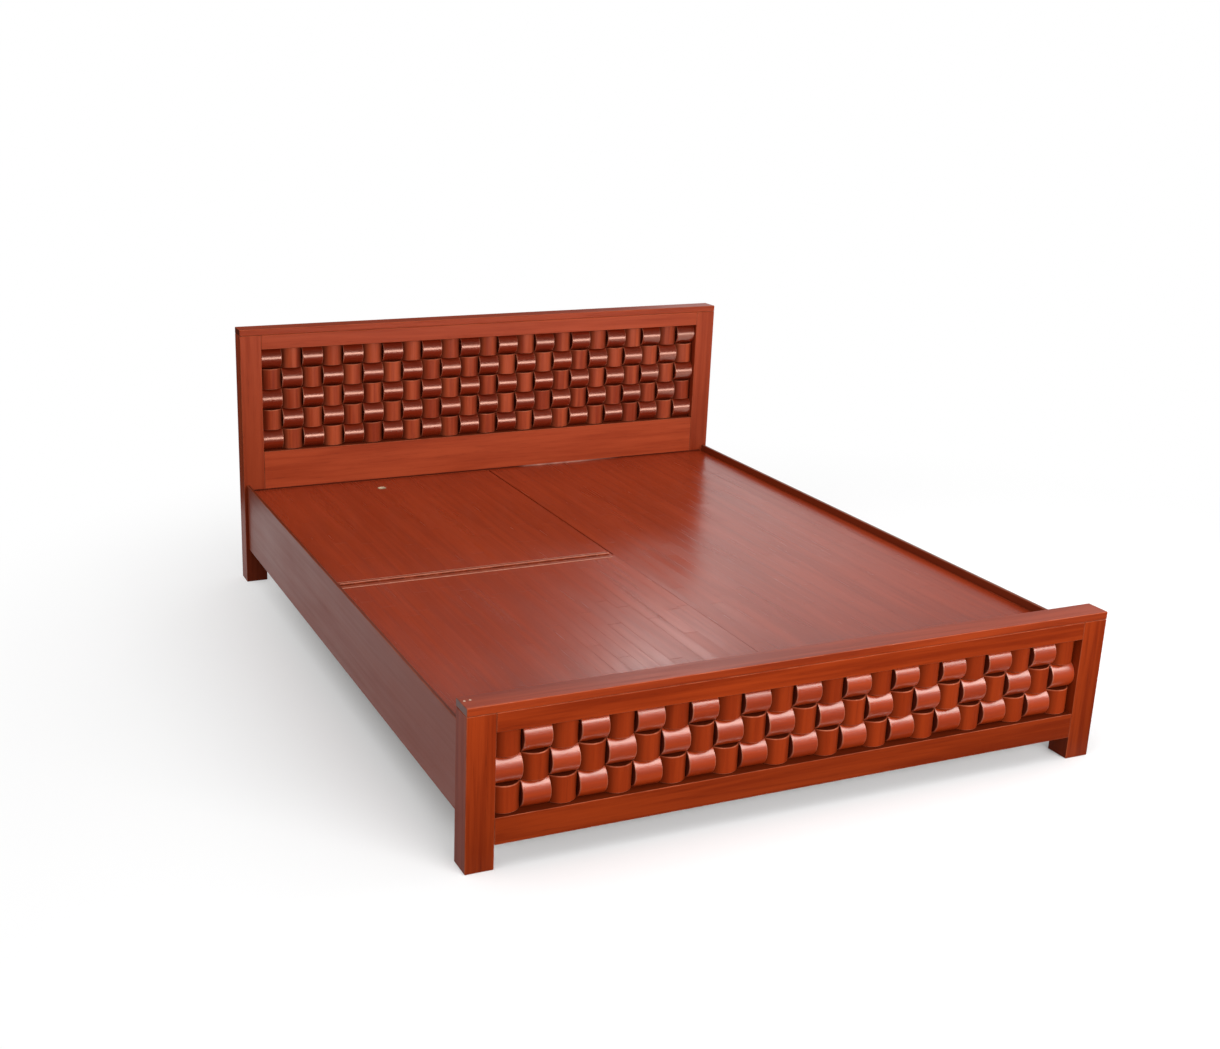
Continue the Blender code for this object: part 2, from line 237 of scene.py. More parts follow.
# The headboard's upright blocks: a lighter, pinker copy of the footboard's, painted sheen.
HEAD_UPRIGHT_WOOD_PAINTED_SHEEN = replace(
    FOOT_ACROSS_WOOD,
    early=(0.420, 0.0720, 0.0250),
    late=(0.225, 0.0250, 0.0070),
    figure=1.0,
    roughness=0.38,
    specular=0.10,
    relief=0.0004,
    ior=1.5,
)
DECK_WOOD = StainedWood(
    early=(0.350, 0.0435, 0.0125),
    late=(0.240, 0.0265, 0.0068),
    rim=(0.250, 0.0290, 0.0080),
    figure=0.7,
    pores=0.45,
    roughness=0.24,
    specular=0.28,
    end_shade=0.6,
    strips=True,
)
# The lid's near-black rim is painted shade in the gap round the lid.
LID_WOOD = replace(DECK_WOOD, rim=(0.030, 0.0045, 0.0020))
# A dark strip that stands for the shadow in the joint at the headboard; its pale rim is a painted
# highlight.
JOINT_SHADOW_AND_HIGHLIGHT = replace(
    DECK_WOOD,
    early=(0.105, 0.0130, 0.0050),
    late=(0.070, 0.0085, 0.0035),
    rim=(0.56, 0.255, 0.190),
    roughness=0.45,
    specular=0.1,
    strips=False,
)
PLYWOOD = RawWood(early=(0.68, 0.54, 0.38), late=(0.52, 0.37, 0.225), roughness=0.62)
BATTEN = RawWood(early=(0.58, 0.41, 0.23), late=(0.43, 0.27, 0.13), roughness=0.68)
HINGE_LACQUER = Metal(
    colour=(0.235, 0.034, 0.011),
    worn=(0.40, 0.105, 0.050),
    metallic=0.0,
    roughness=0.30,
    specular=0.24,
)
# A pale copy of the hinge's lacquer: painted highlight on the leaves' free edges and the knuckles'
# tops.
HINGE_HIGHLIGHT = replace(HINGE_LACQUER, colour=(0.50, 0.190, 0.120), worn=(0.66, 0.340, 0.240))
ZINC = Metal(colour=(0.56, 0.57, 0.59), worn=(0.40, 0.40, 0.41), metallic=1.0, roughness=0.38)
FILLER = Metal(colour=(0.62, 0.45, 0.33), worn=(0.48, 0.30, 0.20), metallic=0.0, roughness=0.55)

BANDS = Texture((0.9, 9.0, 9.0), 3.0, 0.6)
STREAKS = Texture((2.2, 62.0, 62.0), 4.0, 0.3)
FIBRES = Texture((9.0, 420.0, 420.0), 2.0)
PORES = Texture((16.0, 700.0, 700.0), 1.0)
LACQUER_CLOUD = Texture((3.0, 5.0, 5.0), 2.0)
RIPPLE = Texture((90.0, 210.0, 210.0), 2.0)
EDGE_WEAR_AND_HIGHLIGHT = Texture((14.0, 40.0, 40.0), 3.0)
TARNISH = Texture((70.0, 70.0, 70.0), 4.0, 0.4)
SCRATCHES = Texture((60.0, 2400.0, 900.0), 2.0)

LAMPS = (
    Lamp("front_softbox", (1.0, -6.0, 2.4), (0.0, 0.0, 0.5), (5.0, 2.4), 340.0, Rays.LIGHT),
    Lamp("head_softbox", (2.4, -0.8, 2.4), (0.8, 1.1, 0.55), (2.0, 1.5), 17.0, Rays.LIGHT),
    Lamp("head_strip", (0.85, -1.02, 0.69), (0.85, 1.1, 0.69), (2.9, 0.62), 35.0, Rays.GLOSS),
    Lamp("foot_strip", (0.75, -1.5, 0.66), (0.75, -1.499, 0.0), (3.6, 0.46), 20.0, Rays.GLOSS),
    Lamp("back_softbox", (3.3, 5.8, 3.85), (0.0, -0.8, 0.35), (1.1, 0.6), 12.0, Rays.ALL),
)


@dataclass
class Shape:
    """A surface as arrays.

    grain holds each point's place along, across and through the wood, and marks
    holds how far it is on an eased edge, how dark it is from end grain's stain and from
    painted shade, and the tone of its piece of wood.
    """

    points: Array
    faces: list[list[int]]
    normals: Array | None = None
    grain: Array | None = None
    marks: Array | None = None
    finish_of_face: list[int] | None = None


def joined(shapes: list[Shape]) -> Shape:
    """Puts several shapes into one.

    Args:
        shapes: the shapes, which all carry the same kinds of arrays.

    Returns:
        One shape with the points of all, whose faces are numbered on.
    """
    starts = np.cumsum([0] + [len(shape.points) for shape in shapes])
    faces = [
        [start + point for point in face]
        for start, shape in zip(starts, shapes)
        for face in shape.faces
    ]
    stacked = {"finish_of_face": None}
    if shapes[0].finish_of_face is not None:
        stacked["finish_of_face"] = [finish for shape in shapes for finish in shape.finish_of_face]
    for kind in ("normals", "grain", "marks"):
        arrays = [getattr(shape, kind) for shape in shapes]
        stacked[kind] = None if arrays[0] is None else np.concatenate(arrays)
    return Shape(np.concatenate([shape.points for shape in shapes]), faces, **stacked)


def grid_faces(rows: int, columns: int) -> list[list[int]]:
    """The four-sided faces of a grid of points whose rows close on themselves.

    Args:
        rows: how many rows of points there are.
        columns: how many points a row has.

    Returns:
        Faces that run on along a row, then to the next row.
    """
    row, column = np.meshgrid(np.arange(rows - 1), np.arange(columns), indexing="ij")
    right = (column + 1) % columns
    here, ahead = row * columns, (row + 1) * columns
    corners = (here + column, here + right, ahead + right, ahead + column)
    return np.stack(corners, -1).reshape(-1, 4).tolist()


def capped_faces(rows: int, columns: int) -> list[list[int]]:
    """The faces of a grid whose rows close, with its first and its last row as caps.

    Args:
        rows: how many rows of points there are.
        columns: how many points a row has.

    Returns:
        The grid's faces, then the two caps.
    """
    last = (rows - 1) * columns
    caps = [list(range(columns - 1, -1, -1)), list(range(last, last + columns))]
    return grid_faces(rows, columns) + caps


def quarter_turn(steps: int = EDGE_STEPS) -> Array:
    """The angles of a quarter circle, from 0 to a right angle."""
    return np.linspace(0.0, math.pi / 2, steps + 1)


def eased_share(normals: Array) -> Array:
    """How far each point is on an eased edge: 0 on a face, 1 where its normal leans halfway."""
    return np.clip((1 - np.abs(normals).max(1)) / (1 - math.sqrt(0.5)), 0, 1)


def marks_of(edge: Array, stain: Array | float, tone: float) -> Array:
    """Each point's marks: its share of an eased edge, its darkening from stain and painted shade,
    and its tone.
    """
    return np.stack(np.broadcast_arrays(edge, stain, tone), -1)


def log_place(luck: np.random.Generator) -> Array:
    """A chance place in the log that a piece is cut from."""
    return luck.uniform(-LOG_REACH, LOG_REACH, 3)


def welded(shape: Shape) -> Shape:
    """Merges points of a shape that share a place, and drops the faces' repeated corners.

    Args:
        shape: the shape, with its normals, grain and marks.

    Returns:
        The shape without doubles, and without the faces that shrank to a line.
    """
    places = np.round(shape.points, WELD_DIGITS)
    _, first, number = np.unique(places, axis=0, return_index=True, return_inverse=True)
    number = number.reshape(-1)
    faces = [list(dict.fromkeys(number[face].tolist())) for face in shape.faces]
    kept = [face for face in faces if len(face) > 2]
    arrays = (values[first] for values in (shape.normals, shape.grain, shape.marks))
    return Shape(shape.points[first], kept, *arrays)


def grain_places(points: Array, run: Run, offset: Array) -> Array:
    """Each point's place along, across and through the wood, moved on by an offset."""
    return points[:, list(run.value)] + offset


def eased_board(
    low: Vector, high: Vector, radius: float, run: Run, luck: np.random.Generator
) -> Shape:
    """A board with rounded edges and corners.

    A rounded rectangle is carried along X. At each end it draws in: at the angle a of the
    edge's quarter circle the station lies radius * (1 - cos a) from the end, and the
    corners' arcs about their fixed centres have the radius radius * sin a.

    Args:
        low: the board's lowest corner.
        high: its highest corner.
        radius: the radius of its edges.
        run: which way its grain runs.
        luck: where its place in the log and its tone come from.

    Returns:
        The closed board.
    """
    low, high = np.array(low), np.array(high)
    quarter = quarter_turn()
    lead = radius * (1 - np.cos(quarter))
    along = np.concatenate([low[0] + lead, high[0] - lead[::-1]])
    swell = np.concatenate([np.sin(quarter), np.sin(quarter[::-1])])[:, None]
    facing = np.concatenate([-np.cos(quarter), np.cos(quarter[::-1])])[:, None]
    turn = (np.arange(4)[:, None] * math.pi / 2 + quarter).reshape(-1)
    far, near = high - radius, low + radius
    centre_y = np.repeat([far[1], near[1], near[1], far[1]], len(quarter))
    centre_z = np.repeat([far[2], far[2], near[2], near[2]], len(quarter))
    y = centre_y + radius * swell * np.cos(turn)
    z = centre_z + radius * swell * np.sin(turn)
    x = np.broadcast_to(along[:, None], y.shape)
    ends = np.broadcast_to(facing, y.shape)
    normals = np.stack([ends, swell * np.cos(turn), swell * np.sin(turn)], -1).reshape(-1, 3)
    points = np.stack([x, y, z], -1).reshape(-1, 3)
    faces = capped_faces(len(along), len(turn))
    darkening = np.abs(normals[:, run.value[0]]) ** 2
    marks = marks_of(eased_share(normals), darkening, luck.uniform(-1, 1))
    grain = grain_places(points, run, log_place(luck))
    return welded(Shape(points, faces, normals, grain, marks))


def carried(
    outline: Array, leaning: Array, start: float, stop: float, rounding: float
) -> tuple[Shape, Array]:
    """An outline carried straight from start to stop, with both ends rounded.

    Near an end, at the angle a of the rounding's quarter circle, the outline lies
    rounding * (1 - cos a) from the end and is drawn in by rounding * (1 - sin a)
    along its normals.

    Args:
        outline: the outline's points.
        leaning: its normals.
        start: where it begins.
        stop: where it ends.
        rounding: the radius of the ends' edges.

    Returns:
        The closed shape, its points as (along, and the outline's two), and each point's angle a.
    """
    quarter = quarter_turn()
    lead = rounding * (1 - np.cos(quarter))
    along = np.concatenate([start + lead, stop - lead[::-1]])
    turn = np.concatenate([quarter, quarter[::-1]])
    way = np.repeat([-1.0, 1.0], len(quarter))
    section = outline - (rounding * (1 - np.sin(turn)))[:, None, None] * leaning
    rows, count = section.shape[:2]
    points = np.concatenate([np.broadcast_to(along[:, None, None], (rows, count, 1)), section], -1)
    facing = np.broadcast_to((way * np.cos(turn))[:, None, None], (rows, count, 1))
    normals = np.concatenate([facing, np.sin(turn)[:, None, None] * leaning], -1)
    shape = Shape(points.reshape(-1, 3), capped_faces(rows, count), normals.reshape(-1, 3))
    return shape, np.repeat(turn, count)


class Nodes:
    """A node tree being wired."""

    def __init__(self, tree: bpy.types.NodeTree) -> None:
        """Keeps the tree."""
        self.tree = tree

    def add(self, kind: str, **settings: object) -> bpy.types.Node:
        """Adds a node.

        Args:
            kind: the node's type.
            settings: the properties to set.

        Returns:
            The node.
        """
        node = self.tree.nodes.new(kind)
        for name, value in settings.items():
            setattr(node, name, value)
        return node

    def feed(self, socket: Socket, value: object) -> None:
        """Links a socket to another one, or sets its own value.

        Args:
            socket: the socket to feed.
            value: another socket, a colour or a number.
        """
        if isinstance(value, Socket):
            self.tree.links.new(value, socket)
        elif isinstance(value, tuple) and socket.type == "RGBA":
            socket.default_value = (*value, 1.0)
        else:
            socket.default_value = value

    def math(
        self, operation: str, first: object, second: object = 0.0, clamp: bool = False
    ) -> Socket:
        """One arithmetic step.

        Args:
            operation: what is done.
            first: a socket or a number.
            second: a socket or a number, for a step that takes two.
            clamp: whether the result is kept from 0 to 1.

        Returns:
            The result.
        """
        node = self.add("ShaderNodeMath", operation=operation, use_clamp=clamp)
        self.feed(node.inputs[0], first)
        self.feed(node.inputs[1], second)
        return node.outputs[0]

    def plus(self, first: object, second: object, clamp: bool = False) -> Socket:
        """The sum of two values."""
        return self.math("ADD", first, second, clamp)

    def minus(self, first: object, second: object) -> Socket:
        """The first value less the second."""
        return self.math("SUBTRACT", first, second)

    def times(self, first: object, second: object) -> Socket:
        """The product of two values."""
        return self.math("MULTIPLY", first, second)

    def ramp(
        self, value: object, low: float, high: float, to_low: float = 0.0, to_high: float = 1.0
    ) -> Socket:
        """Maps a value from one range to another, smoothly and within its ends.

        Args:
            value: the value.
            low: where its range begins.
            high: where its range ends.
            to_low: what the beginning becomes.
            to_high: what the end becomes.

        Returns:
            The mapped value.
        """
        node = self.add("ShaderNodeMapRange", interpolation_type="SMOOTHSTEP")
        for index, part in enumerate((value, low, high, to_low, to_high)):
            self.feed(node.inputs[index], part)
        return node.outputs[0]

    def mix(self, share: object, first: object, second: object) -> Socket:
        """Mixes two colours.

        Args:
            share: how much of the second there is.
            first: a colour or its socket.
            second: a colour or its socket.

        Returns:
            The mixed colour.
        """
        node = self.add("ShaderNodeMix", data_type="RGBA", blend_type="MIX", clamp_factor=True)
        self.feed(node.inputs[0], share)
        self.feed(node.inputs[6], first)
        self.feed(node.inputs[7], second)
        return node.outputs[2]

    def stretched(self, vector: Socket, factors: Place) -> Socket:
        """Multiplies each part of a vector by its factor.

        Args:
            vector: the vector.
            factors: the three factors.

        Returns:
            The product.
        """
        node = self.add("ShaderNodeVectorMath", operation="MULTIPLY")
        self.feed(node.inputs[0], vector)
        node.inputs[1].default_value = factors
        return node.outputs[0]

    def noise(self, vector: Socket, texture: Texture) -> Socket:
        """Noise over a stretched vector.

        Args:
            vector: the place.
            texture: how fine and how ragged the noise is.

        Returns:
            The noise, about 0 to 1.
        """
        node = self.add("ShaderNodeTexNoise")
        self.feed(node.inputs["Vector"], self.stretched(vector, texture.per_metre))
        node.inputs["Scale"].default_value = 1.0
        node.inputs["Detail"].default_value = texture.detail
        node.inputs["Roughness"].default_value = texture.roughness
        node.inputs["Distortion"].default_value = texture.distortion
        return node.outputs["Fac"]

    def parts(self, vector: Socket) -> tuple[Socket, ...]:
        """Takes a vector apart.

        Args:
            vector: the vector.

        Returns:
            Its parts as sockets.
        """
        node = self.add("ShaderNodeSeparateXYZ")
        self.feed(node.inputs[0], vector)
        return tuple(node.outputs)


@dataclass
class SharedEffects:
    """The node groups that several finishes use, each built once.

    A span is where a noise begins to tell and where it tells in full; two more values
    are what it is mapped to there.
    """

    figure_span: Span = (0.36, 0.66)
    figure_middle: float = 0.45
    tone_shift: float = -0.12
    fibre_span: Span = (0.30, 0.75)
    fibre_share: float = 0.16
    pore_span: Span = (0.60, 0.74)
    pore_streaks: tuple[float, ...] = (0.35, 0.7, 0.25, 1.0)
    pore_share: float = 0.6
    pore_dirt: Colour = (0.03, 0.006, 0.003)
    cloud_gloss: float = 0.14
    streak_gloss: float = 0.16
    strip_width: float = 0.043
    strip_length: float = 0.46
    strip_tilt: float = 3.0
    strip_step: float = 0.5
    side_joint: Span = (0.475, 0.5)
    end_joint: Span = (0.4975, 0.5)
    joint_depth: float = 0.35
    edge_wear_and_highlight: tuple[float, ...] = (0.3, 0.7, 0.25, 0.9)
    end_stain_and_shade: Colour = (0.012, 0.003, 0.0015)

    def __post_init__(self) -> None:
        """Builds every group."""
        self.grain = self._grain()
        self.lacquer = self._lacquer()
        self.strips = self._strips()
        self.eased = self._eased()

    @staticmethod
    def _group(
        name: str, inputs: dict[str, str], outputs: dict[str, str]
    ) -> tuple[Nodes, object, object]:
        """A new node group with these sockets.

        Args:
            name: the group's name.
            inputs: the kind of each named input.
            outputs: the kind of each named output.

        Returns:
            The nodes to wire, the inputs' sockets by name and the outputs' sockets by name.
        """
        tree = bpy.data.node_groups.new(name, "ShaderNodeTree")
        for way, sockets in (("INPUT", inputs), ("OUTPUT", outputs)):
            for label, kind in sockets.items():
                tree.interface.new_socket(name=label, in_out=way, socket_type="NodeSocket" + kind)
        nodes = Nodes(tree)
        return nodes, nodes.add("NodeGroupInput").outputs, nodes.add("NodeGroupOutput").inputs

    def _grain(self) -> bpy.types.NodeTree:
        """Wood figure: broad bands and long streaks between two colours, and short dark pores.

        Returns:
            The group.
        """
        kinds = {"Grain": "Vector", "Tone": "Float", "Early": "Color", "Late": "Color"}
        nodes, given, out = self._group(
            "wood_grain",
            kinds | {"Figure": "Float", "Pores": "Float"},
            {"Color": "Color", "Height": "Float", "Streak": "Float"},
        )
        place, late, middle = given["Grain"], given["Late"], self.figure_middle
        streaks = nodes.noise(place, STREAKS)
        figure = nodes.plus(nodes.times(nodes.noise(place, BANDS), 0.5), nodes.times(streaks, 0.5))
        figure = nodes.ramp(figure, *self.figure_span)
        figure = nodes.plus(nodes.times(nodes.minus(figure, middle), given["Figure"]), middle)
        figure = nodes.plus(figure, nodes.times(given["Tone"], self.tone_shift), clamp=True)
        colour = nodes.mix(figure, given["Early"], late)
        fibres = nodes.ramp(nodes.noise(place, FIBRES), *self.fibre_span)
        colour = nodes.mix(nodes.times(fibres, self.fibre_share), colour, late)
        pores = nodes.ramp(nodes.noise(place, PORES), *self.pore_span)
        dotted = nodes.times(pores, nodes.ramp(streaks, *self.pore_streaks))
        dirt = nodes.mix(self.pore_share, late, self.pore_dirt)
        colour = nodes.mix(nodes.times(dotted, given["Pores"]), colour, dirt)
        nodes.feed(out["Color"], colour)
        nodes.feed(out["Height"], nodes.minus(nodes.times(streaks, 0.5), dotted))
        nodes.feed(out["Streak"], streaks)
        return nodes.tree

    def _lacquer(self) -> bpy.types.NodeTree:
        """Sprayed lacquer: a faint ripple, and gloss that varies with thickness and streaks.

        Returns:
            The group.
        """
        nodes, given, out = self._group(
            "sprayed_lacquer",
            {"Grain": "Vector", "Streak": "Float", "Base": "Float"},
            {"Roughness": "Float", "Height": "Float"},
        )
        place = given["Grain"]
        cloud = nodes.minus(nodes.noise(place, LACQUER_CLOUD), 0.5)
        streak = nodes.minus(given["Streak"], 0.5)
        change = nodes.plus(
            nodes.times(cloud, self.cloud_gloss), nodes.times(streak, self.streak_gloss)
        )
        nodes.feed(out["Roughness"], nodes.plus(given["Base"], change, clamp=True))
        nodes.feed(out["Height"], nodes.noise(place, RIPPLE))
        return nodes.tree

    def _strips(self) -> bpy.types.NodeTree:
        """Core strips that show through a veneer: butted in rows, a little tilted, with joints.

        Returns:
            The group.
        """
        width, length = self.strip_width, self.strip_length
        nodes, given, out = self._group(
            "core_strips",
            {"Grain": "Vector"},
            {"Height": "Float", "Joint": "Float", "Tint": "Float"},
        )
        along, across, _ = nodes.parts(given["Grain"])
        row = nodes.math("FLOOR", nodes.math("DIVIDE", across, width))
        shift = nodes.add("ShaderNodeTexWhiteNoise", noise_dimensions="1D")
        nodes.feed(shift.inputs["W"], row)
        moved = nodes.plus(along, nodes.times(shift.outputs["Value"], length))
        piece = nodes.math("FLOOR", nodes.math("DIVIDE", moved, length))
        number = nodes.add("ShaderNodeCombineXYZ")
        nodes.feed(number.inputs[0], row)
        nodes.feed(number.inputs[1], piece)
        dice = nodes.add("ShaderNodeTexWhiteNoise", noise_dimensions="3D")
        nodes.feed(dice.inputs["Vector"], number.outputs[0])
        lot = nodes.parts(dice.outputs["Color"])
        off_middle = nodes.minus(nodes.math("FRACT", nodes.math("DIVIDE", across, width)), 0.5)
        off_centre = nodes.minus(nodes.math("FRACT", nodes.math("DIVIDE", moved, length)), 0.5)
        slope = nodes.times(nodes.minus(lot[0], 0.5), self.strip_tilt)
        near_side = nodes.ramp(nodes.math("ABSOLUTE", off_middle), *self.side_joint)
        near_end = nodes.ramp(nodes.math("ABSOLUTE", off_centre), *self.end_joint)
        joint = nodes.math("MAXIMUM", near_side, near_end)
        step = nodes.times(lot[1], self.strip_step)
        height = nodes.plus(nodes.times(off_middle, slope), step)
        nodes.feed(out["Height"], nodes.minus(height, nodes.times(joint, self.joint_depth)))
        nodes.feed(out["Joint"], joint)
        nodes.feed(out["Tint"], lot[2])
        return nodes.tree

    def _eased(self) -> bpy.types.NodeTree:
        """Stain on shape: light over an eased edge as thin stain and painted highlight, dark in end
        grain and painted shade.

        Returns:
            The group.
        """
        kinds = {"Color": "Color", "Grain": "Vector", "Edge": "Float", "End": "Float"}
        nodes, given, out = self._group(
            "stain_and_painted_light_on_edges",
            kinds | {"Rim": "Color", "End Shade": "Float"},
            {"Color": "Color"},
        )
        colour = given["Color"]
        # The rim shows in patches, as worn stain and as painted highlight.
        worn = nodes.ramp(nodes.noise(given["Grain"], EDGE_WEAR_AND_HIGHLIGHT), *self.edge_wear_and_highlight)
        # One darkest colour serves end grain's stain and painted shade alike.
        darkened = nodes.mix(given["End Shade"], self.end_stain_and_shade, colour)
        shaded = nodes.mix(given["End"], colour, darkened)
        # The rim: thin stain and painted highlight where it is pale, painted shade in the gaps
        # where it is darker, as on the deck and lid.
        rimmed = nodes.mix(nodes.times(given["Edge"], worn), shaded, given["Rim"])
        nodes.feed(out["Color"], rimmed)
        return nodes.tree


class Workshop:
    """Makes the finishes as materials, and puts shapes into the scene."""

    def __init__(self) -> None:
        """Builds the shared effects and every finish."""
        self.effects = SharedEffects()
        self.frame_wood = self.stained("stained_frame", FRAME_WOOD)
        self.head_wood_painted_sheen = self.stained("stained_headboard", HEAD_WOOD_PAINTED_SHEEN)
        self.cap_wood = self.stained("stained_footboard_cap", CAP_WOOD)
        self.rail_wood = self.stained("stained_side_rail", RAIL_WOOD)
        self.head_weave = [
            self.stained("stained_headboard_across_block_painted_shade", HEAD_ACROSS_WOOD_PAINTED_SHADE),
            self.stained("stained_headboard_upright_block_painted_sheen", HEAD_UPRIGHT_WOOD_PAINTED_SHEEN),
        ]
        self.foot_weave = [
            self.stained("stained_footboard_across_block", FOOT_ACROSS_WOOD),
            self.stained("stained_footboard_upright_block", FOOT_UPRIGHT_WOOD),
        ]
        self.deck_wood = self.stained("stained_deck", DECK_WOOD)
        self.lid_wood = self.stained("stained_lid", LID_WOOD)
        self.joint_shadow_and_highlight = self.stained("painted_joint_shadow_and_highlight", JOINT_SHADOW_AND_HIGHLIGHT)
        self.ply = {run: self.raw("bare_plywood_" + run.name.lower(), PLYWOOD, run) for run in Run}
        self.batten = {run: self.raw("bare_batten_" + run.name.lower(), BATTEN, run) for run in Run}
        self.hinge_lacquer = self.metal("lacquered_hinge", HINGE_LACQUER)
        self.hinge_highlight = self.metal("hinge_painted_highlight", HINGE_HIGHLIGHT)
        self.zinc = self.metal("zinc_plate", ZINC)
        self.filler = self.metal("filled_brad", FILLER)

    def _start(self, name: str) -> tuple[Material, Nodes, bpy.types.Node]:
        """Begins a material.

        Args:
            name: the material's name.

        Returns:
            The material, its nodes and its surface shader.
        """
        material = bpy.data.materials.new(name)
        material.use_nodes = True
        return material, Nodes(material.node_tree), material.node_tree.nodes["Principled BSDF"]

    @staticmethod
    def _place(nodes: Nodes, tree: bpy.types.NodeTree, **values: object) -> bpy.types.Node:
        """Puts a group into a material and feeds its inputs.

        Args:
            nodes: the material's nodes.
            tree: the group.
            values: what its inputs get, named with _ for a space.

        Returns:
            The group's node.
        """
        node = nodes.add("ShaderNodeGroup", node_tree=tree)
        for name, value in values.items():
            nodes.feed(node.inputs[name.replace("_", " ")], value)
        return node

    def _bump(self, nodes: Nodes, shader: bpy.types.Node, height: object, distance: float) -> None:
        """Gives the surface a height.

        Args:
            nodes: the material's nodes.
            shader: its surface shader.
            height: the height, in shares of the distance.
            distance: the distance in metres.
        """
        bump = nodes.add("ShaderNodeBump")
        bump.inputs["Strength"].default_value = 1.0
        bump.inputs["Distance"].default_value = distance
        nodes.feed(bump.inputs["Height"], height)
        nodes.feed(shader.inputs["Normal"], bump.outputs["Normal"])

    def stained(self, name: str, wood: StainedWood) -> Material:
        """A stained, lacquered wood that follows the pieces' own grain and marks.

        Args:
            name: the material's name.
            wood: its colours and gloss.

        Returns:
            The material.
        """
        material, nodes, shader = self._start(name)
        grain = nodes.add("ShaderNodeAttribute", attribute_name="grain").outputs["Vector"]
        marks = nodes.add("ShaderNodeAttribute", attribute_name="marks").outputs["Vector"]
        # end: darkening from end grain's stain and from painted shade.
        edge, end, tone = nodes.parts(marks)
        figure = self._place(
            nodes,
            self.effects.grain,
            Grain=grain,
            Tone=tone,
            Early=wood.early,
            Late=wood.late,
            Figure=wood.figure,
            Pores=wood.pores,
        )
        lacquer = self._place(
            nodes,
            self.effects.lacquer,
            Grain=grain,
            Streak=figure.outputs["Streak"],
            Base=wood.roughness,
        )
        colour = figure.outputs["Color"]
        height = nodes.plus(
            nodes.times(figure.outputs["Height"], wood.figure_height),
            nodes.times(lacquer.outputs["Height"], wood.lacquer_height),
        )
        if wood.strips:
            strips = self._place(nodes, self.effects.strips, Grain=grain).outputs
            colour = nodes.mix(nodes.times(strips["Tint"], wood.strip_tint), colour, wood.late)
            colour = nodes.mix(nodes.times(strips["Joint"], wood.strip_joint), colour, wood.late)
            height = nodes.plus(height, nodes.times(strips["Height"], wood.strip_height))
        colour = self._place(
            nodes,
            self.effects.eased,
            Color=colour,
            Grain=grain,
            Edge=edge,
            End=end,
            Rim=wood.rim,
            End_Shade=wood.end_shade,
        ).outputs["Color"]
        nodes.feed(shader.inputs["Base Color"], colour)
        nodes.feed(shader.inputs["Roughness"], lacquer.outputs["Roughness"])
        shader.inputs["IOR"].default_value = wood.ior
        shader.inputs["Specular IOR Level"].default_value = wood.specular
        shader.inputs["Specular Tint"].default_value = (*wood.tint, 1.0)
        self._bump(nodes, shader, height, wood.relief)
        return material

    def raw(self, name: str, wood: RawWood, run: Run) -> Material:
        """A bare wood whose grain runs along one axis of the bed.

        Args:
            name: the material's name.
            wood: its colours and gloss.
            run: which way its grain runs.

        Returns:
            The material.
        """
        material, nodes, shader = self._start(name)
        place = nodes.add("ShaderNodeTexCoord").outputs["Object"]
        parts = nodes.parts(place)
        turned = nodes.add("ShaderNodeCombineXYZ")
        for index, axis in enumerate(run.value):
            nodes.feed(turned.inputs[index], parts[axis])
        figure = self._place(
            nodes,
            self.effects.grain,
            Grain=turned.outputs[0],
            Tone=0.0,
            Early=wood.early,
            Late=wood.late,
            Figure=wood.figure,
            Pores=wood.pores,
        )
        change = nodes.times(figure.outputs["Streak"], wood.gloss_change)
        roughness = nodes.plus(change, wood.roughness - wood.gloss_change / 2)
        nodes.feed(shader.inputs["Base Color"], figure.outputs["Color"])
        nodes.feed(shader.inputs["Roughness"], roughness)
        shader.inputs["Specular IOR Level"].default_value = wood.specular
        self._bump(nodes, shader, figure.outputs["Height"], wood.relief)
        return material

    def metal(self, name: str, metal: Metal) -> Material:
        """A plated or lacquered metal with cloudy tone and fine scratches.

        Args:
            name: the material's name.
            metal: its colours and gloss.

        Returns:
            The material.
        """
        material, nodes, shader = self._start(name)
        place = nodes.add("ShaderNodeTexCoord").outputs["Object"]
        cloud = nodes.ramp(nodes.noise(place, TARNISH), *metal.worn_span)
        scratch = nodes.noise(place, SCRATCHES)
        worn = nodes.times(cloud, metal.worn_share)
        change = nodes.times(scratch, metal.gloss_change)
        roughness = nodes.plus(change, metal.roughness - metal.gloss_change / 2)
        nodes.feed(shader.inputs["Base Color"], nodes.mix(worn, metal.colour, metal.worn))
        nodes.feed(shader.inputs["Roughness"], roughness)
        shader.inputs["Metallic"].default_value = metal.metallic
        shader.inputs["Specular IOR Level"].default_value = metal.specular
        self._bump(nodes, shader, scratch, metal.relief)
        return material

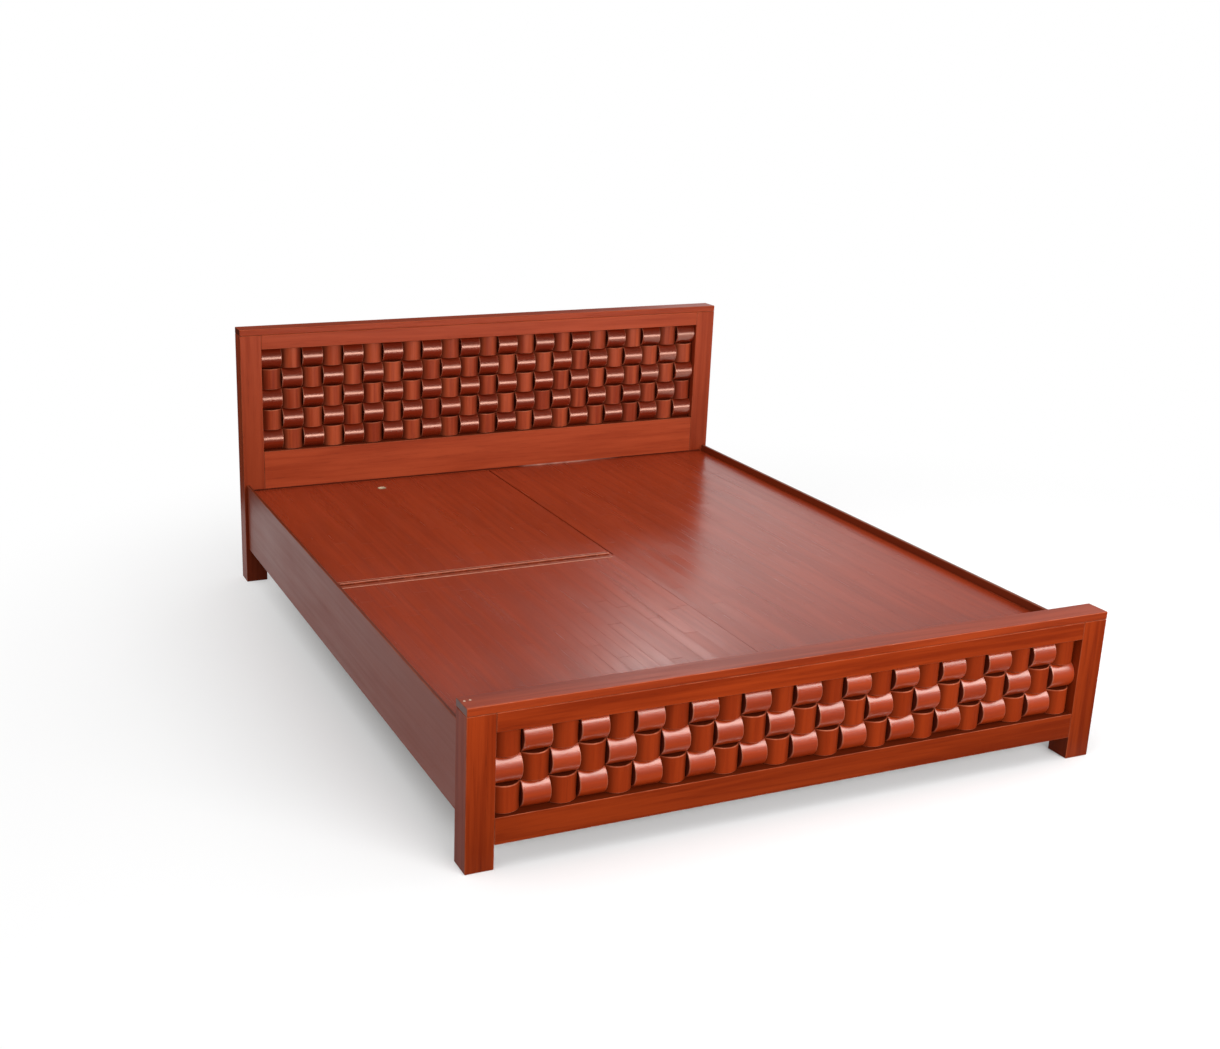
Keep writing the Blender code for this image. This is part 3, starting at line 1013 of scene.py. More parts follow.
    def put(
        self,
        name: str,
        shape: Shape,
        materials: list[Material],
        body: str,
        slot: Slot,
        *nodes: str,
    ) -> bpy.types.Object:
        """Makes an object of a shape, which rides on a body and stands for solids.

        Args:
            name: the piece's name.
            shape: its surface.
            materials: its finishes, in the order that the shape's faces number them.
            body: the body that it moves with.
            slot: the record's slot that its finish belongs to; not used.
            nodes: the solids that it stands for.

        Returns:
            The object, at the origin.
        """
        mesh = bpy.data.meshes.new(name)
        mesh.from_pydata(shape.points.tolist(), [], shape.faces)
        for label, values in (("grain", shape.grain), ("marks", shape.marks)):
            if values is not None:
                attribute = mesh.attributes.new(label, "FLOAT_VECTOR", "POINT")
                attribute.data.foreach_set("vector", values.astype(np.float32).ravel())
        for material in materials:
            mesh.materials.append(material)
        if shape.finish_of_face is not None:
            mesh.polygons.foreach_set("material_index", shape.finish_of_face)
        mesh.shade_smooth()
        if shape.normals is None:
            mesh.set_sharp_from_angle(angle=SHARP_ANGLE)
        else:
            mesh.normals_split_custom_set_from_vertices(shape.normals.tolist())
        mesh.update()
        obj = bpy.data.objects.new(name, mesh)
        bpy.context.scene.collection.objects.link(obj)
        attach(obj, body)
        if nodes:
            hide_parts(*nodes)
        log.info("%s: %d faces", name, len(shape.faces))
        return obj

    @staticmethod
    def dress(node: str, material: Material) -> None:
        """Gives a solid that stays as it is a finish.

        Args:
            node: the solid.
            material: the finish.
        """
        mesh = frame["nodes"][node].data
        mesh.materials.clear()
        mesh.materials.append(material)
        log.info("%s: dressed in %s", node, material.name)


@dataclass
class Weave:
    """Half-round blocks glued edge to edge, by turns across the row and upright."""

    columns: int = 23
    block_width: float = 0.076
    base: float = 0.022
    crown: float = 0.022
    end_round: float = 0.0032
    arc_steps: int = 18
    side_shade_span: Span = (0.28, 0.92)
    side_painted_shade: float = 0.78

    def section(self, chord: float) -> tuple[Array, Array, Array]:
        """The outline across a block: up one side, over the crown's arc, and down the other.

        The arc's radius is (chord^2 / 4 + crown^2) / (2 * crown).

        Args:
            chord: the block's width.

        Returns:
            The points as (across, depth), their normals, and the way round so far in metres.
        """
        radius = (chord**2 / 4 + self.crown**2) / (2 * self.crown)
        half = math.asin(chord / 2 / radius)
        angle = np.linspace(-half, half, self.arc_steps + 1)
        depth = self.base + radius * (np.cos(angle) - math.cos(half))
        arc = np.stack([radius * np.sin(angle), depth], -1)
        arc_normals = np.stack([np.sin(angle), np.cos(angle)], -1)
        sides = np.array([[-chord / 2, 0.0], [-chord / 2, self.base]])
        points = np.concatenate([sides, arc, sides[::-1] * (-1, 1)])
        side_normals = np.array([[-1.0, 0.0], [-1.0, 0.0]])
        normals = np.concatenate([side_normals, arc_normals, side_normals[::-1] * (-1, 1)])
        steps = np.linalg.norm(np.diff(points, axis=0), axis=1)
        return points, normals, np.concatenate([[0.0], np.cumsum(steps)])

    def block(
        self, chord: float, length: float, side_painted_shade: float, luck: np.random.Generator
    ) -> Shape:
        """One block along its own length: the section carried from end to end.

        Towards its sides it darkens with painted shade, by 3 s^2 - 2 s^3 of its strength, where
        s goes from 0 to 1 between the two shares of half the width in side_shade_span.

        Args:
            chord: the block's width.
            length: its length.
            side_painted_shade: how dark the painted shade along its sides is.
            luck: where its place in the log and its tone come from.

        Returns:
            The block, its points as (along, across, depth).
        """
        points, normals, around = self.section(chord)
        block, turn = carried(points, normals, -length / 2, length / 2, self.end_round)
        block.points[:, 2] = np.maximum(block.points[:, 2], 0.0)
        turns = len(turn) // len(around)
        way_round = np.tile(around, turns)
        start, stop = self.side_shade_span
        share = np.clip((np.abs(points[:, 0]) / (chord / 2) - start) / (stop - start), 0, 1)
        side = np.tile(side_painted_shade * share**2 * (3 - 2 * share), turns)
        # Its ends darken as end grain takes up stain, strongly enough to stand for their shade too;
        # its sides darken with painted shade.
        darkening = np.maximum(np.cos(turn) ** 4, side)
        grain = np.stack([block.points[:, 0], way_round, np.zeros(len(turn))], -1)
        block.grain = grain + log_place(luck)
        # The pale rim fades where the painted shade lies.
        block.marks = marks_of(np.sin(2 * turn) * (1 - side), darkening, luck.uniform(-1, 1))
        return block

    def row(self, node: str, across_first: bool, luck: np.random.Generator) -> Shape:
        """A row of blocks in the box of its solid.

        Args:
            node: the row's solid.
            across_first: whether the row begins with a block that lies across it.
            luck: where the blocks' tones come from.

        Returns:
            The row, whose finish is 0 on blocks that lie across it and 1 on upright ones.
        """
        low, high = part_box(node)
        height = high.z - low.z
        middle = (low.z + high.z) / 2
        blocks = []
        for column in range(self.columns):
            x = (column - (self.columns - 1) / 2) * self.block_width
            centre = np.array([x, high.y, middle])
            if (column % 2 == 0) == across_first:
                block = self.block(height, self.block_width, 0.0, luck)
                order, signs = [0, 2, 1], (1, -1, 1)
                block.faces = [face[::-1] for face in block.faces]
                finish = 0
            else:
                block = self.block(self.block_width, height, self.side_painted_shade, luck)
                order, signs = [1, 2, 0], (1, -1, 1)
                finish = 1
            block.finish_of_face = [finish] * len(block.faces)
            block.points = block.points[:, order] * signs + centre
            block.normals = block.normals[:, order] * signs
            blocks.append(block)
        return joined(blocks)


@dataclass
class EndFrame:
    """A headboard or footboard: its posts, cap, rails and panel, and its weave."""

    name: str
    rows: int
    top_left_across: bool
    edge: float = 0.0022
    cap_painted_shade: float = 0.10
    floor_painted_shade: float = 0.52
    floor_shade_reach: float = 0.30
    spots: tuple[Span, ...] = ()
    spot_radius: float = 0.0034
    spot_rise: float = 0.0003
    weave: Weave = field(default_factory=Weave)

    def build(
        self,
        shop: Workshop,
        wood: list[Material],
        blocks: list[Material],
        luck: np.random.Generator,
    ) -> list[bpy.types.Object]:
        """Makes every board and every row of the weave.

        The cap's top, the ledge below the weave and the boards near the floor are marked dark
        with painted shade, darker towards the floor.

        Args:
            shop: where the pieces are made.
            wood: the finishes of the boards and of the cap.
            blocks: the finishes of the blocks that lie across, and of the upright ones.
            luck: where the pieces' places in the log and tones come from.

        Returns:
            The boards and the rows.
        """
        pieces = []
        boards = {
            "left_post": Run.ALONG_Z,
            "right_post": Run.ALONG_Z,
            "cap": Run.ALONG_X,
            "top_rail": Run.ALONG_X,
            "bottom_rail": Run.ALONG_X,
            "panel": Run.ALONG_X,
        }
        for board, run in boards.items():
            node = f"{self.name}_{board}"
            shape = eased_board(*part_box(node), self.edge, run, luck)
            # Painted shade: a little on the cap's top, in full on the ledge below the weave.
            dark = {"cap": self.cap_painted_shade, "bottom_rail": 1.0}.get(board, 0.0)
            dark = dark * np.clip(shape.normals[:, 2], 0, 1)
            # Painted shade that grows towards the floor.
            floor_painted_shade = self.floor_painted_shade * np.clip(1 - shape.points[:, 2] / self.floor_shade_reach, 0, 1)
            shape.marks[:, 1] = np.maximum.reduce([shape.marks[:, 1], dark, floor_painted_shade])
            finish = wood[-1:] if board == "cap" else wood[:1]
            pieces.append(shop.put(node + "_board", shape, finish, BED, Slot.FRAME, node))
        if self.spots:
            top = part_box(f"{self.name}_cap")[1].z
            spots = [
                screw_head((x, y, top), Run.ALONG_Z, 1, self.spot_radius, self.spot_rise, 0.0)
                for x, y in self.spots
            ]
            shop.put(f"{self.name}_filler_spots", joined(spots), [shop.filler], BED, Slot.FRAME)
        for row in range(self.rows):
            node = f"{self.name}_weave_row_{row + 1}"
            across_first = (row % 2 == 0) == self.top_left_across
            shape = self.weave.row(node, across_first, luck)
            pieces.append(shop.put(node + "_blocks", shape, blocks, BED, Slot.WEAVE, node))
        return pieces


@dataclass
class BedBox:
    """The box between the ends: side rails, box board, deck and lid."""

    edge: float = 0.0020
    lip: float = 0.010
    seat: float = 0.0003
    fillet: float = 0.0005
    arris: float = 0.0006
    lid_arris: float = 0.0034
    lip_painted_shade: float = 0.35
    hole_radius: float = 0.014
    hole_edge: float = 0.0012
    hole_setback: float = 0.104
    hole_points: int = 96
    lid_steps: int = 3
    joint_depth: float = 0.0012
    joint_height: float = 0.0056
    joint_reach: float = 0.920
    joint_steps: int = 92
    highlighted: Span = (0.135, 0.56)
    highlight_start: float = 0.03
    highlight_fade: float = 0.24

    def build(self, shop: Workshop, luck: np.random.Generator) -> None:
        """Makes the boards, the fixed deck, the lid and the painted shadow at the headboard.

        Args:
            shop: where the pieces are made.
            luck: where the pieces' places in the log and tones come from.
        """
        for node in ("left_side_rail", "right_side_rail"):
            shape = self.rail(node, luck)
            shop.put(node + "_board", shape, [shop.rail_wood], BED, Slot.FRAME, node)
        node, finishes = "headboard_box_board", [shop.frame_wood]
        shape = eased_board(*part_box("headboard_box_board"), self.edge, Run.ALONG_X, luck)
        shop.put("headboard_box_board_board", shape, finishes, BED, Slot.FRAME, node)
        finishes = [shop.deck_wood, shop.ply[Run.ALONG_Y]]
        for node in ("deck_right", "deck_left_foot"):
            shape = eased_board(*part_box(node), self.arris, Run.ALONG_Y, luck)
            shape.finish_of_face = self.under_is_bare(shape)
            shop.put(node + "_panel", shape, finishes, BED, Slot.DECK, node)
        shape, finishes = self.lid(luck), [shop.lid_wood, shop.ply[Run.ALONG_Y]]
        shop.put("storage_lid_panel", shape, finishes, LID, Slot.DECK, "storage_lid")
        shop.put("headboard_joint_painted_shadow", self.joint(luck), [shop.joint_shadow_and_highlight], BED, Slot.FRAME)

    def joint(self, luck: np.random.Generator) -> Shape:
        """A painted shadow where the deck meets the headboard, with a painted highlight in one
        place.

        A rectangle is carried along X. Its highlight is the lesser of two ramps: up over
        the start of the highlighted stretch, and down over its fade.

        Args:
            luck: where its place in the log comes from.

        Returns:
            The closed line.
        """
        face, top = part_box("headboard_bottom_rail")[0].y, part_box("deck_right")[1].z
        front, back = face - self.joint_depth, face + self.seat
        low, high = top + self.seat, top + self.joint_height
        section = np.array([(front, high), (front, low), (back, low), (back, high)])
        along = np.linspace(-self.joint_reach, self.joint_reach, self.joint_steps + 1)
        x = np.repeat(along, len(section))
        points = np.column_stack([x, np.tile(section, (len(along), 1))])
        # The painted highlight's stretch along the joint.
        start, stop = self.highlighted
        highlighted = np.minimum((x - start) / self.highlight_start, (stop - x) / self.highlight_fade)
        marks = marks_of(np.clip(highlighted, 0, 1), 0.0, 0.0)
        grain = grain_places(points, Run.ALONG_X, log_place(luck))
        faces = capped_faces(len(along), len(section))
        return Shape(points, faces, grain=grain, marks=marks)

    def rail(self, node: str, luck: np.random.Generator) -> Shape:
        """A side rail: its outline, rebated for the deck, carried along its length.

        Each corner of the outline is a quarter circle. At the angle a it lies at
        radius * (way in * sin a - way out * cos a) from the circle's centre.

        Args:
            node: the rail's solid.
            luck: where its place in the log and its tone come from.

        Returns:
            The closed rail, with painted shade on the top and the inner face of its lip.
        """
        low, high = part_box(node)
        side = 1 if high.x > 0 else -1
        outer, inner = (high.x, low.x) if side > 0 else (low.x, high.x)
        lip, shelf = outer - side * self.lip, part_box("deck_right")[0].z - self.seat
        corners = [(inner, low.z), (outer, low.z), (outer, high.z)]
        corners += [(lip, high.z), (lip, shelf), (inner, shelf)]
        corners = np.array(corners)[::side]
        way_out = np.roll(corners, -1, 0) - corners
        way_out /= np.linalg.norm(way_out, axis=1, keepdims=True)
        way_in = np.roll(way_out, 1, 0)
        bend = np.sign(way_in[:, 0] * way_out[:, 1] - way_in[:, 1] * way_out[:, 0])[:, None, None]
        radius = np.where(bend > 0, self.edge, self.fillet)
        angle = quarter_turn()
        swing = np.sin(angle)[:, None] * way_in[:, None] - np.cos(angle)[:, None] * way_out[:, None]
        outline = (corners[:, None] + radius * ((way_out - way_in)[:, None] + swing)).reshape(-1, 2)
        leaning = (bend * swing).reshape(-1, 2)
        eased = (np.sin(2 * angle) * (bend[..., 0] > 0)).reshape(-1)
        # Painted shade: full on the lip's top, weaker on its inner face.
        inner_face_shade = -self.lip_painted_shade * side * leaning[:, 0]
        dark = np.clip(np.maximum(leaning[:, 1], inner_face_shade), 0, 1) * (outline[:, 1] > shelf)
        shape, turn = carried(outline, leaning, low.y, high.y, self.edge)
        turns = len(turn) // len(outline)
        shape.points, shape.normals = shape.points[:, [1, 0, 2]], shape.normals[:, [1, 0, 2]]
        shape.faces = [face[::-1] for face in shape.faces]
        shape.grain = grain_places(shape.points, Run.ALONG_Y, log_place(luck))
        shape.marks = marks_of(np.tile(eased, turns), np.tile(dark, turns), luck.uniform(-1, 1))
        return shape

    @staticmethod
    def under_is_bare(shape: Shape) -> list[int]:
        """Numbers the faces of a panel: 1, bare, where they look down, and 0 elsewhere."""
        middles = np.array([shape.normals[face].mean(0) for face in shape.faces])
        return (middles[:, 2] < LOOKS_DOWN).astype(int).tolist()

    def lid(self, luck: np.random.Generator) -> Shape:
        """The lid, a flat ring of rays from the finger hole's centre to its outline.

        Each ray runs from a circle of the hole's radius to where it leaves the lid's rectangle.
        The profile carried round them goes up the hole's wall, over a small rounding, out over the
        top, over the eased edge, down the side, and back along the underside.

        Args:
            luck: where its place in the log comes from.

        Returns:
            The closed lid.
        """
        low, high = (np.array(corner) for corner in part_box("storage_lid"))
        centre = np.array([(low[0] + high[0]) / 2, high[1] - self.hole_setback])
        corners = np.array([(x, y) for x in (low[0], high[0]) for y in (low[1], high[1])]) - centre
        angle = np.linspace(-math.pi, math.pi, self.hole_points, endpoint=False)
        angle = np.sort(np.concatenate([angle, np.arctan2(corners[:, 1], corners[:, 0])]))
        ray = np.stack([np.cos(angle), np.sin(angle)], -1)
        least, touching = 1e-9, 1e-6

        def outline(inset: float) -> Array:
            """Where each ray leaves the rectangle, drawn in by an inset."""
            far = np.abs(np.where(ray > 0, high[:2] - centre, low[:2] - centre)) - inset
            return centre + ray * (far / np.maximum(np.abs(ray), least)).min(1)[:, None]

        def ring(radius: float) -> Array:
            """A circle about the hole's centre."""
            return centre + ray * radius

        leaving = outline(0.0)
        on_edge = (leaving < low[:2] + touching) | (leaving > high[:2] - touching)
        side = np.where(on_edge, np.sign(ray), 0.0)
        side = side / np.linalg.norm(side, axis=1, keepdims=True)
        hole, curl, arris = self.hole_radius, self.hole_edge, self.lid_arris
        under, top = low[2], high[2]
        quarter = quarter_turn(self.lid_steps)
        # The shares of a rounding that a line is drawn in and down, and leans out and over.
        turns = [(1 - math.sin(a), 1 - math.cos(a), math.sin(a), math.cos(a)) for a in quarter]
        lines = [(ring(hole + curl * d), under + curl * c, -ray * o, -v, 1) for d, c, o, v in turns]
        lines += [(ring(hole + curl * c), top - curl * d, -ray * v, o, 1) for d, c, o, v in turns]
        hole_lines = len(lines)
        lines += [(outline(arris * d), top - arris * c, side * o, v, 0) for d, c, o, v in turns]
        lines += [(outline(arris * c), under + arris * d, side * v, -o, 0) for d, c, o, v in turns]
        finishes = [line[-1] for line in lines]
        finishes[hole_lines - 1], finishes[-1] = 0, 1
        lines.append(lines[0])
        plans, heights, leans, rises, _ = zip(*lines)
        count = len(ray)
        points = np.column_stack([np.concatenate(plans), np.repeat(heights, count)])
        normals = np.column_stack([np.concatenate(leans), np.repeat(rises, count)])
        faces = [face[::-1] for face in grid_faces(len(lines), count)]
        outside = np.repeat(np.arange(len(lines)) >= hole_lines, count)
        marks = marks_of(eased_share(normals) * outside, 0.0, luck.uniform(-1, 1))
        grain = grain_places(points, Run.ALONG_Y, log_place(luck))
        shape = welded(Shape(points, faces, normals, grain, marks))
        shape.finish_of_face = np.repeat(finishes, count).tolist()
        return shape


@dataclass
class PianoHinge:
    """A rolled hinge along the lid: two leaves that take turns on one pin, and their screws."""

    knuckles: int = 22
    gap: float = 0.0004
    sheet: float = 0.0012
    barrel: float = 0.0032
    relief: float = 0.0006
    leaf: float = 0.028
    mouth: float = 0.15
    highlight_edge: float = 0.0035
    highlight_top: float = 0.7
    arc_points: int = 20
    lip_points: int = 6
    screws: int = 11
    screw_place: float = 0.6
    screw: float = 0.0034
    screw_rise: float = 0.0005

    def build(self, shop: Workshop) -> None:
        """Makes both leaves with their screws.

        Args:
            shop: where the pieces are made.
        """
        axis = np.array(frame["joints"][0]["pos_m"])
        low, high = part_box("hinge_pin")
        finishes = [shop.hinge_lacquer, shop.hinge_highlight]
        leaves = (("hinge_fixed_leaf", 0, -1, BED), ("hinge_lid_leaf", 1, 1, LID))
        for name, first, sign, body in leaves:
            shape = self.leaf_shape(axis, low.x, high.x, first, sign)
            shop.put(name + "_rolled", shape, finishes, body, Slot.HINGE, name)
            pitch = (high.x - low.x) / self.screws
            places = low.x + pitch * (np.arange(self.screws) + 0.5)
            y = axis[1] + sign * self.leaf * self.screw_place
            top = axis[2] - self.barrel + self.sheet
            heads = [
                screw_head((x, y, top), Run.ALONG_Z, 1, self.screw, self.screw_rise) for x in places
            ]
            shop.put(name + "_screws", joined(heads), [shop.hinge_lacquer], body, Slot.HINGE)
        shop.dress("hinge_pin", shop.zinc)

    def leaf_shape(self, axis: Array, start: float, stop: float, first: int, sign: int) -> Shape:
        """A leaf: its plate, and every second knuckle rolled from it round the pin.

        A knuckle's outline runs in from the plate under the pin, round an arc of the
        barrel's radius, and back along an arc one sheet further in.

        Args:
            axis: a point on the pin's axis.
            start: where the hinge begins along X.
            stop: where it ends.
            first: the first knuckle that belongs to the leaf.
            sign: the side of the pin that the plate lies on, along Y.

        Returns:
            The plate and the knuckles, whose finish is 1 where the highlight is painted.
        """
        under, over = -self.barrel, -self.barrel + self.sheet
        near = self.barrel + self.relief
        turn = np.linspace(-math.pi / 2, -2 * math.pi + self.mouth, self.arc_points)
        arc = np.stack([np.cos(turn), np.sin(turn)], -1)
        outer, inner = self.barrel * arc, (self.barrel - self.sheet) * arc[::-1]
        knuckle = np.concatenate([[[near, under]], outer, inner, [[near, over]]])
        bend = np.linspace(-math.pi / 2, math.pi / 2, self.lip_points)
        half = self.sheet / 2
        lip = half * np.stack([np.cos(bend), np.sin(bend)], -1) + (self.leaf - half, under + half)
        # The leaf's free edge and the knuckles' tops carry the painted highlight.
        inside = self.leaf - self.highlight_edge
        plate = np.concatenate([[[near, under]], lip, [[inside, over], [near, over]]])
        pitch = (stop - start) / self.knuckles
        prisms = [self.prism(plate, plate[:, 0] >= inside, start, stop, axis, sign)]
        top = knuckle[:, 1] > self.highlight_top * self.barrel
        for place in range(first, self.knuckles, 2):
            left = start + place * pitch + self.gap / 2
            prisms.append(self.prism(knuckle, top, left, left + pitch - self.gap, axis, sign))
        return joined(prisms)

    @staticmethod
    def prism(
        outline: Array, highlighted: Array, start: float, stop: float, axis: Array, sign: int
    ) -> Shape:
        """An outline across the hinge, carried straight along X, with painted highlight between
        highlighted points.

        Args:
            outline: the outline's points, as (away from the pin's axis, up).
            highlighted: which of them carry the painted highlight.
            start: where the prism begins along X.
            stop: where it ends.
            axis: a point on the pin's axis.
            sign: the side of the pin that it lies on, along Y.

        Returns:
            The closed prism.
        """
        count = len(outline)
        x = np.repeat([start, stop], count)
        y = axis[1] + sign * np.tile(outline[:, 0], 2)
        z = axis[2] + np.tile(outline[:, 1], 2)
        faces = capped_faces(2, count)
        turned = np.cross(np.roll(outline, -1, 0), outline).sum() * sign
        if turned > 0:
            faces = [face[::-1] for face in faces]
        sides = (highlighted & np.roll(highlighted, -1)).astype(int).tolist()
        return Shape(np.stack([x, y, z], -1), faces, finish_of_face=[*sides, 0, 0])


def screw_head(
    centre: Place, run: Run, way: int, radius: float, rise: float, recess: float = 1.1
) -> Shape:
    """A screw's domed head with a cross recess.

    On a grid of rings and angles the height is rise * (1 - r^2), less recess * rise where the
    point lies within an arm of the cross, up to six tenths of the radius.

    Args:
        centre: the middle of the head's seat.
        run: the axis that the head faces along.
        way: the side that it faces on that axis, 1 or -1.
        radius: the head's radius.
        rise: how far its dome stands out.
        recess: the depth of its cross in shares of its rise, 0 for a plain spot.

    Returns:
        The open dome, whose rim goes a little below its seat.
    """
    rings, spokes = 6, 24
    arm_width, arm_reach, rim_drop = 0.16, 0.62, 0.2
    r = np.linspace(0.0, 1.0, rings + 1)[1:]
    angle = np.linspace(0.0, 2 * math.pi, spokes, endpoint=False)
    u = np.outer(r, np.cos(angle))
    v = np.outer(r, np.sin(angle))
    arm = (np.minimum(np.abs(u), np.abs(v)) < arm_width) & (r[:, None] < arm_reach)
    height = rise * (1 - r[:, None] ** 2) - np.where(arm, recess * rise, 0.0)
    height[-1] = -rim_drop * rise
    dome = np.stack([height, radius * u, radius * v], -1).reshape(-1, 3)
    points = np.concatenate([[[(1 - recess) * rise, 0.0, 0.0]], dome])
    faces = [[1 + corner for corner in face] for face in grid_faces(rings, spokes)]
    faces += [[0, 1 + (spoke + 1) % spokes, 1 + spoke] for spoke in range(spokes)]
    points[:, 0] *= way
    placed = np.empty_like(points)
    placed[:, list(run.value)] = points
    # A turned way and the order of ALONG_Y each mirror the dome.
    if (way < 0) == (run is Run.ALONG_Y):
        faces = [face[::-1] for face in faces]
    return Shape(placed + np.array(centre), faces)


@dataclass
class StorageInside:
    """What the lid opens on, and what stands under the box."""

    screw: float = 0.0042
    screw_rise: float = 0.0012
    screw_heights: Span = (0.25, 0.75)
    steel: float = 0.003

    def build(self, shop: Workshop) -> None:
        """Dresses the solids inside the box and adds the brackets' screws.

        Args:
            shop: where the finishes are kept and the screws are made.
        """
        for side in ("left", "right"):
            shop.dress(f"{side}_deck_cleat", shop.batten[Run.ALONG_Y])
            shop.dress(f"{side}_bottom_cleat", shop.batten[Run.ALONG_Y])
            shop.dress(f"{side}_storage_bottom", shop.ply[Run.ALONG_Y])
            shop.dress(f"{side}_cross_divider", shop.ply[Run.ALONG_X])
            for end in ("head", "foot"):
                shop.dress(f"{end}_{side}_deck_cleat", shop.batten[Run.ALONG_X])
                shop.dress(f"{end}_{side}_bracket", shop.zinc)
                self.bracket_screws(shop, f"{end}_{side}_bracket")
        shop.dress("lengthwise_divider", shop.ply[Run.ALONG_Y])
        shop.dress("bottom_bearer", shop.batten[Run.ALONG_Y])
        shop.dress("centre_leg", shop.batten[Run.ALONG_Z])

    def bracket_screws(self, shop: Workshop, node: str) -> None:
        """Two screws through each leg of a bracket.

        Args:
            shop: where the screws are made.
            node: the bracket's solid.
        """
        low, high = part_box(node)
        in_x = 1 if low.x < 0 else -1
        in_y = 1 if low.y < 0 else -1
        middle = (low + high) / 2
        face_x = (low.x + self.steel) if in_x > 0 else (high.x - self.steel)
        face_y = (low.y + self.steel) if in_y > 0 else (high.y - self.steel)
        size = self.screw, self.screw_rise
        heads = []
        for share in self.screw_heights:
            z = low.z + share * (high.z - low.z)
            heads.append(screw_head((face_x, middle.y, z), Run.ALONG_X, in_x, *size))
            heads.append(screw_head((middle.x, face_y, z), Run.ALONG_Y, in_y, *size))
        shop.put(node + "_screws", joined(heads), [shop.zinc], BED, Slot.ZINC)


@dataclass
class Studio:
    """A pale floor, a white surround, soft lamps and the camera."""

    place: Place = (-2.1375, -4.130, 1.901)
    azimuth: float = -22.37
    elevation: float = 17.55
    roll: float = 1.07
    lens: float = 44.85
    sensor: float = 36.0
    shift: float = 0.100
    floor_reach: float = 60.0
    floor_level: float = -0.0004
    floor_seen: Colour = (0.96, 0.96, 0.96)
    floor_bounce: Colour = (0.20, 0.197, 0.194)
    shadow_middle: Place = (0.5, -0.4, 0.0)
    shadow_fade: tuple[float, ...] = (1.3, 3.2, 0.12, 1.0)
    surround: float = 0.48
    sun_power: float = 0.9
    sun_width: float = 50.0
    sun_from: Place = (-0.55, -0.05, 1.0)
    cloth: Colour = (0.030, 0.021, 0.015)

    def build(self) -> None:
        """Sets up everything round the object."""
        bpy.context.scene.view_settings.view_transform = "Standard"
        self.camera()
        self.floor()
        self.world()
        for lamp in LAMPS:
            self.panel(lamp)
        self.dark_screens()
        self.graded_screen()
        self.sun()

    def camera(self) -> None:
        """The camera, turned by its azimuth and elevation and then rolled about its axis."""
        angles = (self.azimuth, self.elevation, self.roll)
        turn, tilt, roll = (math.radians(angle) for angle in angles)
        level, ahead, aside = math.cos(tilt), math.cos(roll), math.sin(roll)
        back = Vector((math.sin(turn) * level, -math.cos(turn) * level, math.sin(tilt)))
        right = Vector((0, 0, 1)).cross(back).normalized()
        up = back.cross(right)
        right, up = ahead * right + aside * up, ahead * up - aside * right
        data = bpy.data.cameras.new("camera")
        data.lens = self.lens
        data.sensor_width = self.sensor
        data.shift_x = self.shift
        obj = bpy.data.objects.new("camera", data)
        axes = Matrix((right, up, back)).transposed()
        obj.matrix_world = Matrix.Translation(self.place) @ axes.to_4x4()
        bpy.context.scene.collection.objects.link(obj)
        bpy.context.scene.camera = obj

    @staticmethod
    def seen_rays(nodes: Nodes) -> Socket:
        """Tells the rays that show the background from those that give light.

        Args:
            nodes: the nodes to add to.

        Returns:
            1 for a ray seen straight, in a gloss or through glass, and 0 for one that gives light.
        """
        path = nodes.add("ShaderNodeLightPath").outputs
        shown = nodes.math("MAXIMUM", path["Is Camera Ray"], path["Is Glossy Ray"])
        return nodes.math("MAXIMUM", shown, path["Is Transmission Ray"])

    def floor(self) -> None:
        """A pale floor that keeps the shadow near the bed and turns plain white further out."""
        reach, level = self.floor_reach, self.floor_level
        signs = ((-1, -1), (1, -1), (1, 1), (-1, 1))
        corners = [(x * reach, y * reach, level) for x, y in signs]
        mesh = bpy.data.meshes.new("studio_floor")
        mesh.from_pydata(corners, [], [(0, 1, 2, 3)])
        obj = bpy.data.objects.new("studio_floor", mesh)
        bpy.context.scene.collection.objects.link(obj)
        material = bpy.data.materials.new("studio_floor")
        material.use_nodes = True
        material.node_tree.nodes.clear()
        nodes = Nodes(material.node_tree)
        shown = self.seen_rays(nodes)
        place = nodes.add("ShaderNodeTexCoord").outputs["Object"]
        away = nodes.add("ShaderNodeVectorMath", operation="SUBTRACT")
        nodes.feed(away.inputs[0], place)
        nodes.feed(away.inputs[1], self.shadow_middle)
        far = nodes.add("ShaderNodeVectorMath", operation="LENGTH")
        nodes.feed(far.inputs[0], away.outputs[0])
        white = nodes.add("ShaderNodeEmission")
        pale = nodes.add("ShaderNodeBsdfDiffuse")
        nodes.feed(pale.inputs["Color"], nodes.mix(shown, self.floor_bounce, self.floor_seen))
        mixed = nodes.add("ShaderNodeMixShader")
        clear = nodes.ramp(far.outputs["Value"], *self.shadow_fade)
        nodes.feed(mixed.inputs[0], nodes.times(clear, shown))
        nodes.feed(mixed.inputs[1], pale.outputs[0])
        nodes.feed(mixed.inputs[2], white.outputs[0])
        out = nodes.add("ShaderNodeOutputMaterial")
        nodes.feed(out.inputs["Surface"], mixed.outputs[0])
        mesh.materials.append(material)

    @staticmethod
    def screen(name: str, corners: list[Place], faces: list[list[int]]) -> Nodes:
        """A screen that only a gloss sees.

        Args:
            name: the screen's name.
            corners: its corners.
            faces: the corners of each of its faces.

        Returns:
            The nodes of its material, with nothing in them yet.
        """
        mesh = bpy.data.meshes.new(name)
        mesh.from_pydata(corners, [], faces)
        material = bpy.data.materials.new(name)
        material.use_nodes = True
        material.node_tree.nodes.clear()
        mesh.materials.append(material)
        obj = bpy.data.objects.new(name, mesh)
        obj.visible_camera = obj.visible_diffuse = False
        obj.visible_transmission = obj.visible_shadow = False
        bpy.context.scene.collection.objects.link(obj)
        return Nodes(material.node_tree)

